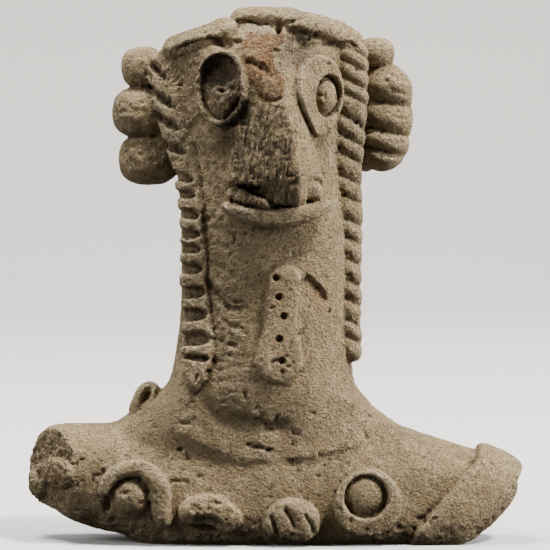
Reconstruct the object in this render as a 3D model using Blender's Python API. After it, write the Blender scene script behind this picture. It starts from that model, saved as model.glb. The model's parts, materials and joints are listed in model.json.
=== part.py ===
"""A hand-modelled terracotta bust of an idol, broken off below the chest, as one solid of fired clay.

The clay is laid up as the maker did it. A tall column is neck and head, a roll across it is the shoulders,
and a ridge pinched out in front is the nose. Discs, strips and lumps are then pressed on, each seated on the
surface under it. All of it is fused, creased, thinned to a modest count of faces and broken off flat below.

The bust stands on that flat break and faces -Y. X runs to the viewer's right, and the origin is on the break.
"""

import math

import bmesh
import bpy
import numpy as np
from mathutils import Matrix, Vector
from mathutils.bvhtree import BVHTree

MM = 0.001
FRONT = Vector((0, -1, 0))

# Size of the whole bust, and the size that the tables below are laid out at
BUST_WIDTH = 123.7 * MM
BUST_DEPTH = 46.2 * MM
BUST_HEIGHT = 133.1 * MM
LAID_OUT_SIZE = (123.7 * MM, 46.2 * MM, 133.1 * MM)

# How finely the clay is fused, and how many triangles are kept
CORE_GRAIN = 1.0 * MM
CORE_SMOOTHING = 6
FUSE_GRAIN = 0.55 * MM
FUSE_SMOOTHING = 1
KEPT_TRIANGLES = 9600
STRIP_STEP = 0.45 * MM
STRIP_CORNERS = 28
STRIP_FULLNESS = 2.4
STRIP_SINK = 1.6 * MM
NOTCH_END_LENGTH = 0.6
NOTCH_WALL_STEEPNESS = 1.5
NOTCH_NARROWING = 0.2
ROLL_CREASE_SHARPNESS = 0.97
DRAPE_CLEARANCE = 12 * MM
PRESSED_IN = 2 * MM
PELLET_PROFILE = ((1.0, 0.3), (0.93, 0.7), (0.75, 0.92), (0.35, 1.0))

# Neck and head column, level by level, in millimetres: height, middle, half width, reach in front, reach
# behind and how full the front is (2 is an ellipse, less is a wedge)
COLUMN_LEVELS = (
    (14.0, -1.5, 45.0, 15.5, 12.0, 2.2),
    (24.0, -4.0, 40.0, 16.6, 13.5, 2.2),
    (28.0, -4.8, 36.6, 17.2, 14.2, 2.2),
    (32.0, -4.9, 31.2, 18.0, 15.0, 2.2),
    (36.0, -4.0, 26.4, 18.8, 15.8, 2.3),
    (40.0, -3.4, 23.2, 19.2, 16.4, 2.4),
    (46.0, -2.9, 22.0, 18.8, 16.8, 2.4),
    (60.0, -2.3, 21.1, 18.2, 17.0, 2.5),
    (80.0, -2.3, 21.1, 18.6, 17.4, 2.3),
    (92.0, -2.6, 21.6, 20.0, 18.0, 1.75),
    (104.0, -3.0, 24.0, 21.8, 18.6, 1.5),
    (114.0, -3.2, 25.6, 22.4, 18.6, 1.45),
    (121.0, -3.0, 25.6, 20.0, 17.2, 1.6),
    (126.0, -0.8, 20.6, 15.0, 13.4, 1.9),
    (129.6, 0.2, 14.6, 10.0, 9.2, 2.0),
    (131.4, -1.4, 7.0, 5.0, 5.0, 2.0),
)
COLUMN_BACK_FULLNESS = 2.4

# Shoulder roll, station by station from left to right, in millimetres: place, underside, top, reach in front
# and reach behind
SHOULDER_STATIONS = (
    (-62.6, 10.0, 19.6, 13.0, 8.0),
    (-60.0, 8.6, 25.0, 13.2, 10.4),
    (-56.0, 7.8, 28.6, 13.4, 11.6),
    (-50.0, 4.8, 29.2, 13.8, 12.2),
    (-44.0, 2.8, 29.0, 14.2, 12.6),
    (-38.0, 1.4, 29.2, 15.0, 13.0),
    (-31.0, -2.6, 29.4, 15.6, 13.2),
    (-20.0, -6.0, 29.8, 16.4, 13.6),
    (0.0, -6.0, 30.2, 17.0, 13.8),
    (20.0, -6.0, 29.8, 16.4, 13.6),
    (30.0, -5.0, 28.8, 15.6, 13.4),
    (36.0, -4.0, 26.8, 14.8, 13.0),
    (44.0, -3.0, 24.4, 14.0, 12.6),
    (50.0, 0.5, 22.6, 12.6, 12.0),
    (56.0, 5.6, 20.6, 10.4, 10.2),
    (59.6, 9.6, 18.0, 6.6, 7.0),
    (60.8, 12.0, 15.6, 3.4, 3.6),
)
SHOULDER_FULLNESS = 2.6

# The slanting break across the left stump and the chipped front edge of the break below
STUMP_BREAK_X = -49.6 * MM
STUMP_BREAK_Y = -14.0 * MM
STUMP_BREAK_SLANT = 0.58
BASE_CHIP_HEIGHT = 2.2 * MM
BASE_CHIP_DEPTH = 5.5 * MM

# Nose, pinched out of the face, level by level, in millimetres: height, left foot, left flank, ridge left,
# ridge right and right foot, each across, then the reach in front of the flank and of the ridge
NOSE_LEVELS = (
    (124.0, -10.0, -8.6, -7.2, 1.6, 3.6, 15.0, 16.8),
    (117.0, -10.0, -8.4, -6.6, 2.2, 4.6, 19.6, 22.0),
    (110.0, -10.2, -8.6, -5.6, 2.6, 5.8, 21.4, 24.6),
    (100.0, -11.8, -9.8, -6.0, 4.4, 7.8, 22.2, 26.6),
    (92.0, -13.2, -11.2, -7.8, 5.8, 9.2, 22.4, 28.0),
    (88.8, -13.6, -11.4, -8.2, 6.2, 9.6, 22.2, 28.0),
    (86.6, -8.0, -6.0, -2.6, 6.4, 9.4, 20.0, 24.8),
    (84.6, -3.0, -2.0, -0.4, 6.0, 8.6, 18.0, 21.6),
)
NOSE_FOOT_REACH = 15.0 * MM
NOSE_UNDERCUT = 2.2 * MM
NOSE_TURN = 3.2 * MM

# Eye discs: places across and up, half width and half height on the clay, how far they stand out, the holes
# in them and the pellets in the holes
LEFT_EYE = (-12.9 * MM, 113.0 * MM)
RIGHT_EYE = (10.3 * MM, 111.2 * MM)
LEFT_EYE_RADII = (7.1 * MM, 9.2 * MM)
RIGHT_EYE_RADII = (7.6 * MM, 9.7 * MM)
EYE_THICKNESS = 2.2 * MM
DISC_CORNERS = 36
DISC_FULLNESS = 2.1
LEFT_EYE_HOLE_SHARE = 0.82
RIGHT_EYE_HOLE_SHARE = 0.55
RIGHT_EYE_HOLE_SHIFT = (2.5 * MM, -0.3 * MM)
RIGHT_EYE_POINT = 0.2
LEFT_PUPIL_RADII = (4.2 * MM, 4.0 * MM)
LEFT_PUPIL_SHIFT = (0.2 * MM, -3.4 * MM)
LEFT_PUPIL_HEIGHT = 1.8 * MM
RIGHT_PUPIL_RADII = (3.2 * MM, 4.1 * MM)
RIGHT_PUPIL_SHIFT = (2.8 * MM, -0.3 * MM)
RIGHT_PUPIL_HEIGHT = 2.0 * MM

# Lips
LOWER_LIP_PATH = (
    (-11.8, 84.6),
    (-9.1, 82.9),
    (-5.0, 81.9),
    (0.0, 81.3),
    (4.0, 81.9),
    (7.5, 82.9),
    (11.5, 84.6),
)
LOWER_LIP_HALF_HEIGHTS = (1.1, 1.9, 2.2, 2.3, 2.3, 1.9, 1.1)
LOWER_LIP_REACH = 5.0 * MM
LIP_FULLNESS = 3.0
UPPER_LIP_PATH = ((-11.2, -18.2, 87.6), (-8.6, -21.6, 87.3), (-5.2, -24.4, 86.2), (-1.2, -25.6, 84.8))
UPPER_LIP_HALF_HEIGHTS = (1.3, 1.5, 1.3, 1.0)
UPPER_LIP_REACH = 1.6 * MM
UPPER_LIP_SINK = 4.0 * MM
LIP_PELLET = (9.2 * MM, 88.0 * MM)
LIP_PELLET_RADIUS = 2.3 * MM
LIP_PELLET_LIFT = 1.6 * MM
BALL_FULLNESS = 2.0

# Plaited tresses: path across and up, with the depth at which the path is looked for, then the heights of the
# notches pressed into the outer edge, all in millimetres
LEFT_TRESS_PATH = (
    (-32.4, -6.0, 123.0),
    (-30.4, -7.0, 116.6),
    (-28.4, -8.0, 110.0),
    (-27.0, -9.0, 104.0),
    (-26.0, -10.0, 97.5),
    (-24.6, -12.0, 90.0),
    (-22.6, -14.0, 80.0),
    (-21.4, -14.0, 68.0),
    (-20.2, -14.0, 57.0),
    (-19.4, -15.0, 48.0),
    (-20.6, -16.0, 38.0),
)
LEFT_TRESS_HALF_WIDTHS = (4.6, 4.6, 4.5, 3.7, 3.4, 3.5, 3.8, 4.3, 2.4)
LEFT_TRESS_SLANTS = (-1.2, -1.1, -0.7, -0.3, -0.1, 0.0, 0.0, -0.2)
LEFT_TRESS_NOTCHES = (115.2, 108.4, 102.6, 96.6, 90.2, 86.2, 81.6, 76.9, 73.2, 68.4, 62.6, 57.0, 50.9, 46.4)
LEFT_TRESS_NOTCH_SIZES = (1.7, 1.7, 1.5, 1.3, 1.3, 1.2, 1.2, 1.2, 1.2, 1.4, 1.7, 1.8, 1.9, 0.8)
LEFT_TRESS_NOTCH_ENDS = (0.2, 0.3, 0.3, 0.5, 0.7, 0.8, 0.85, 0.8)
LEFT_TRESS_END_ROUND = 1.6
LEFT_TRESS_FULLNESS = 2.8
NOTCH_DEPTH_SHARE = 0.85
RIGHT_TRESS_PATH = (
    (19.4, -8.0, 125.0),
    (20.8, -9.0, 116.0),
    (21.4, -9.0, 106.0),
    (21.2, -8.0, 97.0),
    (20.6, -7.0, 90.0),
    (21.0, -6.0, 76.0),
    (21.0, -6.0, 60.0),
    (20.2, -6.0, 44.8),
)
RIGHT_TRESS_HALF_WIDTHS = (3.8, 4.1, 4.2, 3.4, 2.9, 2.8, 2.7)
RIGHT_TRESS_SLANT = 0.5
RIGHT_TRESS_CREASES = (
    122.0, 118.4, 114.2, 110.6, 104.8, 100.2, 95.8, 90.4, 85.6, 79.8, 75.0, 69.8, 64.6, 60.0, 54.6, 50.6
)
RIGHT_TRESS_CREASE_DEPTH = 0.6
TRESS_HEIGHT = 3.8 * MM
TRESS_SINK = 3.4 * MM
TRESS_LEAN = 0.72

# Hair buns beside the head and the hair they sit on: centre and half sizes, in millimetres
LEFT_BUNS = (
    ((-32.8, 0.0, 118.0), (5.6, 6.4, 5.2)),
    ((-33.2, -0.5, 107.0), (7.4, 7.6, 6.3)),
    ((-31.4, 0.5, 95.2), (7.7, 7.4, 6.4)),
)
RIGHT_TOP_BUN = ((25.2, 0.0, 121.6), (4.6, 5.6, 3.8))
HAIR_MASSES = (
    ((-27.6, 3.0, 106.0), (5.0, 8.0, 16.0)),
    ((22.4, 3.0, 107.0), (4.6, 8.0, 15.0)),
)
LUMP_FULLNESS = 2.5
LUMP_LEVELS = 14
LUMP_CORNERS = 24
RIGHT_BUN_PATH = (
    (26.8, 0.0, 119.4),
    (27.6, 0.0, 112.0),
    (27.4, 0.0, 104.0),
    (26.6, 0.0, 97.0),
    (25.8, 0.0, 92.2),
)
RIGHT_BUN_HALF_WIDTHS = (4.8, 6.7, 6.9, 6.5, 5.2)
RIGHT_BUN_HEIGHT = 7.2 * MM
RIGHT_BUN_CREASES = (109.2, 102.2, 97.4)
RIGHT_BUN_CREASE_DEPTH = 0.5
RIGHT_BUN_SLANT = -0.12

# Hair bands over the brow: paths across and up with the depth at which they are looked for, in millimetres
LEFT_BAND_PATH = ((-28.0, -6.0, 122.6), (-22.0, -10.0, 125.2), (-16.0, -12.0, 127.4), (-9.6, -12.0, 129.4))
LEFT_BAND_HALF_WIDTHS = (2.6, 3.3, 3.5, 3.2)
LEFT_BAND_HEIGHT = 3.2 * MM
CROWN_BAND_PATH = ((-11.0, -7.0, 130.2), (-5.0, -8.0, 131.8), (1.0, -9.0, 131.0), (7.0, -8.0, 130.4))
CROWN_BAND_HALF_WIDTHS = (3.3,)
CROWN_BAND_HEIGHT = 2.6 * MM
RIGHT_BAND_PATH = ((1.6, -10.0, 128.4), (8.0, -11.0, 128.6), (15.0, -10.0, 127.0), (22.5, -6.0, 123.4))
RIGHT_BAND_HALF_WIDTHS = (3.0, 3.6, 3.5, 2.6)
RIGHT_BAND_HEIGHT = 3.0 * MM

# Strip hanging at the throat, from the top down, in millimetres: height, middle and half width
THROAT_STRIP = (
    (69.6, 3.2, 3.4),
    (66.0, 2.6, 4.1),
    (62.0, 2.0, 4.0),
    (56.6, 1.4, 4.1),
    (51.0, 1.2, 5.2),
    (45.0, 0.9, 5.9),
    (40.4, 0.8, 5.0),
)
THROAT_STRIP_HEIGHT = 1.7 * MM
THROAT_STRIP_FULLNESS = 3.4
PUNCH_HOLES = ((0.3, 66.3), (1.0, 61.7), (2.2, 57.0), (1.1, 51.4), (1.8, 46.1))
PUNCH_RADIUS = 0.85 * MM
PUNCH_DEPTH = 2.4 * MM
PUNCH_CORNERS = 8
PUNCH_TAPER = 0.27
PUNCH_CLEARANCE = 0.2 * MM

# Disc on the chest, the pellet in its middle, and the lone pellet under its hood on the left
RIGHT_DISC = (22.8 * MM, 10.8 * MM)
DISC_RADIUS = 8.3 * MM
DISC_THICKNESS = 2.6 * MM
DISC_HOLE_SHARE = 0.66
DISC_HOLE_SHIFT = (-0.6 * MM, 1.7 * MM)
DISC_HOLE_DEPTH = 2.0 * MM
DISC_PELLET_RADIUS = 4.8 * MM
DISC_PELLET_HEIGHT = 2.5 * MM
DISC_PELLET_SHIFT = (-0.6 * MM, 2.1 * MM)
LEFT_PELLET = (-35.5 * MM, 11.9 * MM)
LEFT_PELLET_RADIUS = 4.3 * MM
LEFT_PELLET_HEIGHT = 3.0 * MM
HOOD_PATH = (
    (-42.6, 12.4),
    (-41.3, 15.8),
    (-38.0, 18.6),
    (-33.4, 19.4),
    (-30.0, 17.3),
    (-28.1, 13.3),
    (-28.0, 9.4),
    (-26.8, 5.2),
)
HOOD_HALF_WIDTHS = (1.2, 1.7, 1.9, 2.0, 2.3, 2.6, 2.5, 1.8)
HOOD_HEIGHT = 2.7 * MM
HOOD_FULLNESS = 2.8
HOOD_END_ROUND = 0.8

# Broken lumps between the discs
RIDGE_LUMP_PATH = ((-22.8, 6.4), (-20.0, 9.0), (-16.0, 9.4), (-12.0, 7.6), (-9.2, 4.6))
RIDGE_LUMP_HALF_WIDTHS = (3.0, 3.8, 3.2)
RIDGE_LUMP_HEIGHT = 2.8 * MM
FINGER_LUMP_PATH = ((-2.6, 4.6), (3.4, 7.2), (10.6, 4.6))
FINGER_LUMP_HALF_WIDTHS = (2.6, 5.2, 5.2)
FINGER_LUMP_HEIGHT = 3.6 * MM

# Stub on the left shoulder and the lumps on the left break: centre and half sizes, in millimetres
SHOULDER_STUB = ((-32.4, -3.0, 34.6), (3.3, 3.6, 5.4))
SHOULDER_STUB_TURN = 0.45
STUMP_LUMPS = (
    ((-54.0, -7.3, 17.5), (8.2, 1.8, 3.8)),
    ((-59.0, 1.2, 14.4), (3.8, 2.3, 4.3)),
)

# Creases in the clay seen from the front, in millimetres: path across and up, each with half width and depth
NECK_FOOT_CREASE = (
    (-19.8, 36.4),
    (-15.2, 33.8),
    (-11.2, 32.0),
    (-5.0, 30.2),
    (0.0, 29.2),
    (7.2, 32.8),
    (13.8, 35.4),
)
CHEST_LEDGE = (
    (-28.2, 29.4),
    (-18.0, 23.8),
    (-10.0, 20.4),
    (0.8, 20.0),
    (10.0, 21.4),
    (18.0, 23.0),
    (25.0, 25.0),
)
CREASES = (
    (NECK_FOOT_CREASE, 2.6, 0.8),
    (CHEST_LEDGE, 3.4, 0.5),
    (((9.6, 67.0), (11.4, 64.6), (12.8, 61.8), (13.2, 60.0)), 2.2, 0.7),
    (((-17.0, 67.8), (-15.4, 64.2), (-13.4, 61.6), (-10.8, 59.4), (-7.0, 58.8)), 1.2, 0.5),
    (((2.3, 9.6), (4.2, 7.6), (5.2, 4.8)), 1.0, 1.2),
    (((-1.0, 8.0), (0.4, 5.2), (1.0, 2.4)), 1.0, 1.1),
)
CREASED_FACING = (0.1, 0.5)


# Hollows in the clay seen from the front, in millimetres: place across and up, half width and height, depth
HOLLOWS = (
    (-12.9, 117.2, 4.6, 4.6, 1.6),
    (-32.1, 36.4, 1.8, 2.8, 1.9),
    (-16.2, 5.6, 5.0, 2.2, 1.5),
    (5.0, 123.4, 4.8, 4.4, 0.7),
    (-7.0, 88.8, 3.4, 1.2, 1.6),
    (-8.8, 106.6, 3.0, 4.4, 1.0),
)
HOLLOW_FLOOR = 0.45

# Strap across the right stump
STRAP_PATH = (
    (56.6, 7.0, 21.6),
    (56.2, -3.0, 20.6),
    (54.4, -10.0, 17.1),
    (50.0, -14.0, 12.0),
    (44.9, -15.0, 6.0),
    (40.5, -14.0, 0.4),
    (38.7, -11.0, -3.6),
)
STRAP_HALF_WIDTH = 6.0
STRAP_HEIGHT = 2.1 * MM
STRAP_FULLNESS = 2.8
STRAP_SINK = 7.0 * MM

CLAY_COLOUR = (0.43, 0.36, 0.27, 1.0)
CLAY_ROUGHNESS = 0.9


def clear_scene():
    for obj in list(bpy.data.objects):
        bpy.data.objects.remove(obj, do_unlink=True)


def curve_through(keys, values, at):
    """Values at the places `at` on a smooth curve through the given ones, with no overshoot between them."""
    keys = np.asarray(keys, float)
    values = np.asarray(values, float).reshape(len(keys), -1)
    steps = np.diff(keys)[:, None]
    rises = np.diff(values, axis=0) / steps
    slopes = np.empty_like(values)
    slopes[0], slopes[-1] = rises[0], rises[-1]
    product = rises[:-1] * rises[1:]
    total = rises[:-1] + rises[1:]
    safe_total = np.where(np.abs(total) < 1e-12, 1.0, total)
    slopes[1:-1] = np.where(product > 0, 2 * product / safe_total, 0.0)
    at = np.clip(np.asarray(at, float), keys[0], keys[-1])
    index = np.clip(np.searchsorted(keys, at, side="right") - 1, 0, len(keys) - 2)
    step = steps[index]
    t = ((at - keys[index])[:, None]) / step
    start, end = values[index], values[index + 1]
    return (
        start * (1 + 2 * t) * (1 - t) ** 2
        + end * t**2 * (3 - 2 * t)
        + slopes[index] * step * t * (1 - t) ** 2
        - slopes[index + 1] * step * t**2 * (1 - t)
    )


def oval(count, fullness):
    """Points (across, along) of a superellipse of half sizes 1, evenly spread by angle."""
    points = []
    for k in range(count):
        angle = 2 * math.pi * k / count
        across, along = math.cos(angle), math.sin(angle)
        points.append(
            (
                math.copysign(abs(across) ** (2 / fullness), across),
                math.copysign(abs(along) ** (2 / fullness), along),
            )
        )
    return points


def add_skin(clay, rings):
    """A closed shell over rings of equal count, capped at both ends."""
    rows = [[clay.verts.new(point) for point in ring] for ring in rings]
    count = len(rows[0])
    faces = []
    for first, second in zip(rows, rows[1:]):
        for k in range(count):
            following = (k + 1) % count
            faces.append(clay.faces.new((first[k], first[following], second[following], second[k])))
    faces.append(clay.faces.new(list(reversed(rows[0]))))
    faces.append(clay.faces.new(rows[-1]))
    bmesh.ops.recalc_face_normals(clay, faces=faces)


def add_lump(clay, centre, radii, turn=0.0, swing=0.0, fullness=LUMP_FULLNESS):
    """A full oval lump, turned about the depth axis and then swung about the upright one, in radians."""
    place = Matrix.Translation(centre) @ Matrix.Rotation(swing, 4, "Z") @ Matrix.Rotation(turn, 4, "Y")
    place = place @ Matrix.Diagonal((*radii, 1.0))
    rings = []
    for k in range(1, LUMP_LEVELS):
        angle = math.pi * k / LUMP_LEVELS
        width = math.sin(angle) ** (2 / fullness)
        up = math.copysign(abs(math.cos(angle)) ** (2 / fullness), math.cos(angle))
        rings.append([place @ Vector((a * width, b * width, up)) for a, b in oval(LUMP_CORNERS, 2.0)])
    add_skin(clay, rings)


def column_rings(levels=70, around=72):
    table = np.array(COLUMN_LEVELS)
    heights = np.linspace(table[0, 0], table[-1, 0], levels)
    rings = []
    for height, row in zip(heights, curve_through(table[:, 0], table[:, 1:], heights)):
        middle, half_width, front, back, fullness = row
        ring = []
        for (across, along), (back_across, back_along) in zip(
            oval(around, fullness), oval(around, COLUMN_BACK_FULLNESS)
        ):
            if along < 0:
                point = (middle + half_width * across, front * along, height)
            else:
                point = (middle + half_width * back_across, back * back_along, height)
            ring.append(Vector(point) * MM)
        rings.append(ring)
    return rings


def shoulder_rings(stations=90, around=48):
    """Rings across the shoulder roll, held back at the slanting break and at the chipped lower front edge."""
    table = np.array(SHOULDER_STATIONS)
    places = np.linspace(table[0, 0], table[-1, 0], stations)
    rings = []
    for place, row in zip(places, curve_through(table[:, 0], table[:, 1:], places)):
        underside, top, front, back = row * MM
        middle, half_height = (top + underside) / 2, (top - underside) / 2
        ring = []
        for along, up in oval(around, SHOULDER_FULLNESS):
            y = along * (back if along > 0 else front)
            z = middle + half_height * up
            x = max(place * MM, STUMP_BREAK_X - (y - STUMP_BREAK_Y) * STUMP_BREAK_SLANT)
            chip = BASE_CHIP_HEIGHT * (1 - (y + front) / BASE_CHIP_DEPTH)
            ring.append(Vector((x, y, max(z, chip) if y + front < BASE_CHIP_DEPTH else z)))
        rings.append(ring)
    return rings


def nose_rings():
    table = np.array(NOSE_LEVELS)
    heights = np.linspace(table[0, 0], table[-1, 0], 30)
    rings = []
    for height, row in zip(heights, curve_through(-table[:, 0], table[:, 1:], -heights)):
        left_foot, flank, ridge_left, ridge_right, right_foot, flank_reach, ridge_reach = row * MM
        z = height * MM
        rings.append(
            [
                Vector((left_foot, -NOSE_FOOT_REACH * 0.3, z)),
                Vector((left_foot, -NOSE_FOOT_REACH, z)),
                Vector((flank, -flank_reach + NOSE_TURN * 0.4, z)),
                Vector((ridge_left, -ridge_reach + NOSE_TURN, z)),
                Vector((ridge_right, -ridge_reach, z)),
                Vector((right_foot, -(NOSE_FOOT_REACH + ridge_reach) / 2 - NOSE_UNDERCUT, z)),
                Vector((right_foot + NOSE_UNDERCUT, -NOSE_FOOT_REACH, z)),
                Vector((right_foot, -NOSE_FOOT_REACH * 0.3, z)),
            ]
        )
    return rings


def fused(clay, grain, smoothing):
    """A mesh of all the clay in one smoothed skin."""
    mesh = bpy.data.meshes.new("loose_clay")
    clay.to_mesh(mesh)
    obj = bpy.data.objects.new("loose_clay", mesh)
    bpy.context.scene.collection.objects.link(obj)
    fuse = obj.modifiers.new("fuse", "REMESH")
    fuse.mode = "VOXEL"
    fuse.voxel_size = grain
    fuse.use_smooth_shade = True
    smooth = obj.modifiers.new("smooth", "SMOOTH")
    smooth.factor = 0.5
    smooth.iterations = round(smoothing)
    graph = bpy.context.evaluated_depsgraph_get()
    skin = bpy.data.meshes.new_from_object(obj.evaluated_get(graph))
    bpy.data.objects.remove(obj, do_unlink=True)
    return skin


class Surface:
    """The clay core, for seating what is pressed on it."""

    def __init__(self, mesh):
        clay = bmesh.new()
        clay.from_mesh(mesh)
        self.tree = BVHTree.FromBMesh(clay)
        clay.free()

    def nearest(self, point):
        place, normal, _, _ = self.tree.find_nearest(point)
        return place, normal

    def from_front(self, x, z):
        """Place and normal where a straight look along +Y meets the clay, or nearest to it."""
        place, normal, _, _ = self.tree.ray_cast(Vector((x, -0.2, z)), Vector((0, 1, 0)))
        if place is None:
            return self.nearest(Vector((x, -NOSE_FOOT_REACH, z)))
        return place, normal

    def seat(self, x, z):
        """A place on the front of the clay, with the way out of it, the way up and the way across."""
        centre, normal = self.from_front(x, z)
        up = (Vector((0, 0, 1)) - normal * normal.z).normalized()
        return centre, normal, up, up.cross(normal).normalized()

    def draped(self, seat, across, up, lift):
        """A point this far across, up and off the clay at a seat, following the rise and fall of the clay."""
        centre, normal, upward, sideways = seat
        flat = centre + sideways * across + upward * up
        under, _, _, _ = self.tree.ray_cast(flat + normal * DRAPE_CLEARANCE, -normal)
        rise = (under - flat).dot(normal) if under else 0.0
        return flat + normal * (lift + max(rise, -DRAPE_CLEARANCE / 3))


def fade(value, low, high):
    """0 at low and below, 1 at high and above, smooth between."""
    t = np.clip((value - low) / (high - low), 0.0, 1.0)
    return t * t * (3 - 2 * t)


def spread_along(values, share):
    """Evenly spaced values read at these shares, 0 to 1, of a strip's length."""
    if len(values) == 1:
        return np.full(len(share), float(values[0]))
    return curve_through(np.linspace(0, 1, len(values)), values, share)[:, 0]


def averaged(rows, reach):
    """Rows of numbers, each averaged with this many on either side of it."""
    padded = np.pad(rows, ((reach, reach), (0, 0)), mode="reflect", reflect_type="odd")
    share = np.ones(2 * reach + 1) / (2 * reach + 1)
    return np.stack([np.convolve(padded[:, k], share, mode="valid") for k in range(rows.shape[1])], axis=1)


def unit(rows):
    return rows / np.linalg.norm(rows, axis=1, keepdims=True)


def path_lengths(path):
    path = np.array([tuple(p) for p in path])
    return path, np.concatenate([[0.0], np.cumsum(np.linalg.norm(np.diff(path, axis=0), axis=1))])


def roll_creases(shift, places, total, depth):
    """Depth share of the creases between the rolls of a strip, at each place along it."""
    creases = np.array([0.0, *places, total])
    index = np.clip(np.searchsorted(creases, shift), 1, len(creases) - 1)
    t = np.clip((shift - creases[index - 1]) / (creases[index] - creases[index - 1]), 0, 1)
    return depth * (1 - np.sqrt(1 - ROLL_CREASE_SHARPNESS * (2 * t - 1) ** 2))


def pressed_notches(shift, inner, notches):
    """Depth share of notches with steep rounded walls; inner is 0 over their width and 1 at their end."""
    depth = np.zeros_like(shift)
    for place, half_length in notches:
        gap = 1 - ((shift - place) / half_length) ** 2 - inner**2
        pressed = np.clip(NOTCH_WALL_STEEPNESS * np.sqrt(np.clip(gap, 0, None)), 0, 1)
        depth = np.maximum(depth, NOTCH_DEPTH_SHARE * pressed)
    return depth


def add_strip(
    clay, surface, path, half_widths, height, fullness=STRIP_FULLNESS, notches=(), notch_ends=(1.0,),
    creases=(), crease_depth=0.0, slants=(0.0,), facing=None, lean=0.0, end_round=1.0, sink=STRIP_SINK,
    reverse=False,
):
    """A strip of clay laid along a path on the surface, with half widths in millimetres spread along it.

    Notches are pressed from its outer edge, which is its left when seen going down the path or its right with
    reverse, as far as notch_ends of the half width. Creases part it into rolls. A facing keeps the strip off
    the surface and turned that way. A lean, 0 to 1, turns a seated strip towards the front.
    """
    path, lengths = path_lengths(path)
    total = lengths[-1]
    count = max(12, int(total / STRIP_STEP))
    along = np.linspace(0, total, count)
    points = [Vector(p) for p in curve_through(lengths, path, along)]
    normals = [Vector(facing or FRONT)] * count
    if facing is None:
        seats = [surface.nearest(point) for point in points]
        points = [place for place, _ in seats]
        normals = [normal.lerp(FRONT, lean) for _, normal in seats]
    points = averaged(np.array(points), 2)
    tangents = np.gradient(points, axis=0)
    side = -1.0 if reverse else 1.0
    across = unit(np.cross(averaged(np.array(normals), 4), tangents) * side)
    normals = unit(np.cross(tangents, across) * side)
    share = along / total
    spread = spread_along(half_widths, share) * MM
    ends = np.ones(count)
    if end_round > 0:
        gap = np.minimum(along, total - along) / (end_round * spread)
        ends = np.sqrt(np.clip(1 - (1 - np.minimum(1, gap)) ** 2, 0.02, 1))
    a, h = np.array(oval(STRIP_CORNERS, fullness)).T
    shift = along[:, None] + spread_along(slants, share)[:, None] * a * spread[:, None]
    inner = np.clip((a - spread_along(notch_ends, share)[:, None]) / NOTCH_END_LENGTH + 1, 0, None)
    depth = pressed_notches(shift, inner, notches)
    if creases:
        depth = np.maximum(depth, roll_creases(shift, creases, total, crease_depth))
    reach = a * ends[:, None] * (1 - NOTCH_NARROWING * depth * ((a < 0) | bool(creases))) * spread[:, None]
    lift = np.where(h > 0, height * ends[:, None] * (1 - depth), sink) * h
    rings = points[:, None] + across[:, None] * reach[..., None] + normals[:, None] * lift[..., None]
    add_skin(clay, rings.tolist())


def places_at(path, heights):
    """Distances along a falling path at which it passes these heights, given in millimetres."""
    path, lengths = path_lengths(path)
    return list(np.interp(-np.array(heights) * MM, -path[:, 2], lengths))


def scaled(path):
    return [Vector(p) * MM for p in path]


def lying(surface, path):
    """A path given across and up in millimetres, laid on the front of the clay."""
    return [surface.from_front(x * MM, z * MM)[0] for x, z in path]


def add_disc(clay, surface, seat, radii, thickness, hole_share, hole_depth, shift=(0.0, 0.0), point=0.0):
    """A ring of clay round a sunk middle, draped over the clay at a seat.

    The hole may sit off centre by shift, and the foot of the ring may be drawn to a point.
    """
    rim = 0.5 * (1 - hole_share)
    profile = (
        (0.97, -PRESSED_IN, 0.0),
        (1.0, thickness * 0.3, 0.0),
        (0.98, thickness * 0.75, 0.0),
        (1.0 - rim * 0.5, thickness, 0.2),
        (hole_share + rim * 0.3, thickness, 0.9),
        (hole_share, thickness * 0.8, 1.0),
        (hole_share * 0.95, thickness - hole_depth, 1.0),
        (hole_share * 0.4, thickness - hole_depth, 1.0),
    )
    rings = []
    for share, lift, moved in profile:
        ring = []
        for a, b in oval(DISC_CORNERS, DISC_FULLNESS):
            drawn = point * max(0.0, -b) * max(0.0, share - hole_share) / (1 - hole_share)
            across = a * share * (1 - drawn) * radii[0] + shift[0] * moved
            up = b * share * (1 + 0.3 * drawn) * radii[1] + shift[1] * moved
            ring.append(surface.draped(seat, across, up, lift))
        rings.append(ring)
    add_skin(clay, rings)


def add_pellet(clay, surface, seat, radii, height, shift=(0.0, 0.0)):
    """A low round pellet draped over the clay at a seat, off its centre by shift."""
    profile = [(0.9, -PRESSED_IN)] + [(share, height * rise) for share, rise in PELLET_PROFILE]
    rings = []
    for share, lift in profile:
        ring = []
        for a, b in oval(DISC_CORNERS, 2.0):
            across, up = a * share * radii[0] + shift[0], b * share * radii[1] + shift[1]
            ring.append(surface.draped(seat, across, up, lift))
        rings.append(ring)
    add_skin(clay, rings)


def add_eyes(clay, surface):
    left, right = surface.seat(*LEFT_EYE), surface.seat(*RIGHT_EYE)
    add_disc(clay, surface, left, LEFT_EYE_RADII, EYE_THICKNESS, LEFT_EYE_HOLE_SHARE, EYE_THICKNESS)
    add_pellet(clay, surface, left, LEFT_PUPIL_RADII, LEFT_PUPIL_HEIGHT, LEFT_PUPIL_SHIFT)
    add_disc(
        clay, surface, right, RIGHT_EYE_RADII, EYE_THICKNESS, RIGHT_EYE_HOLE_SHARE, EYE_THICKNESS,
        RIGHT_EYE_HOLE_SHIFT, RIGHT_EYE_POINT,
    )
    add_pellet(clay, surface, right, RIGHT_PUPIL_RADII, RIGHT_PUPIL_HEIGHT, RIGHT_PUPIL_SHIFT)


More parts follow.
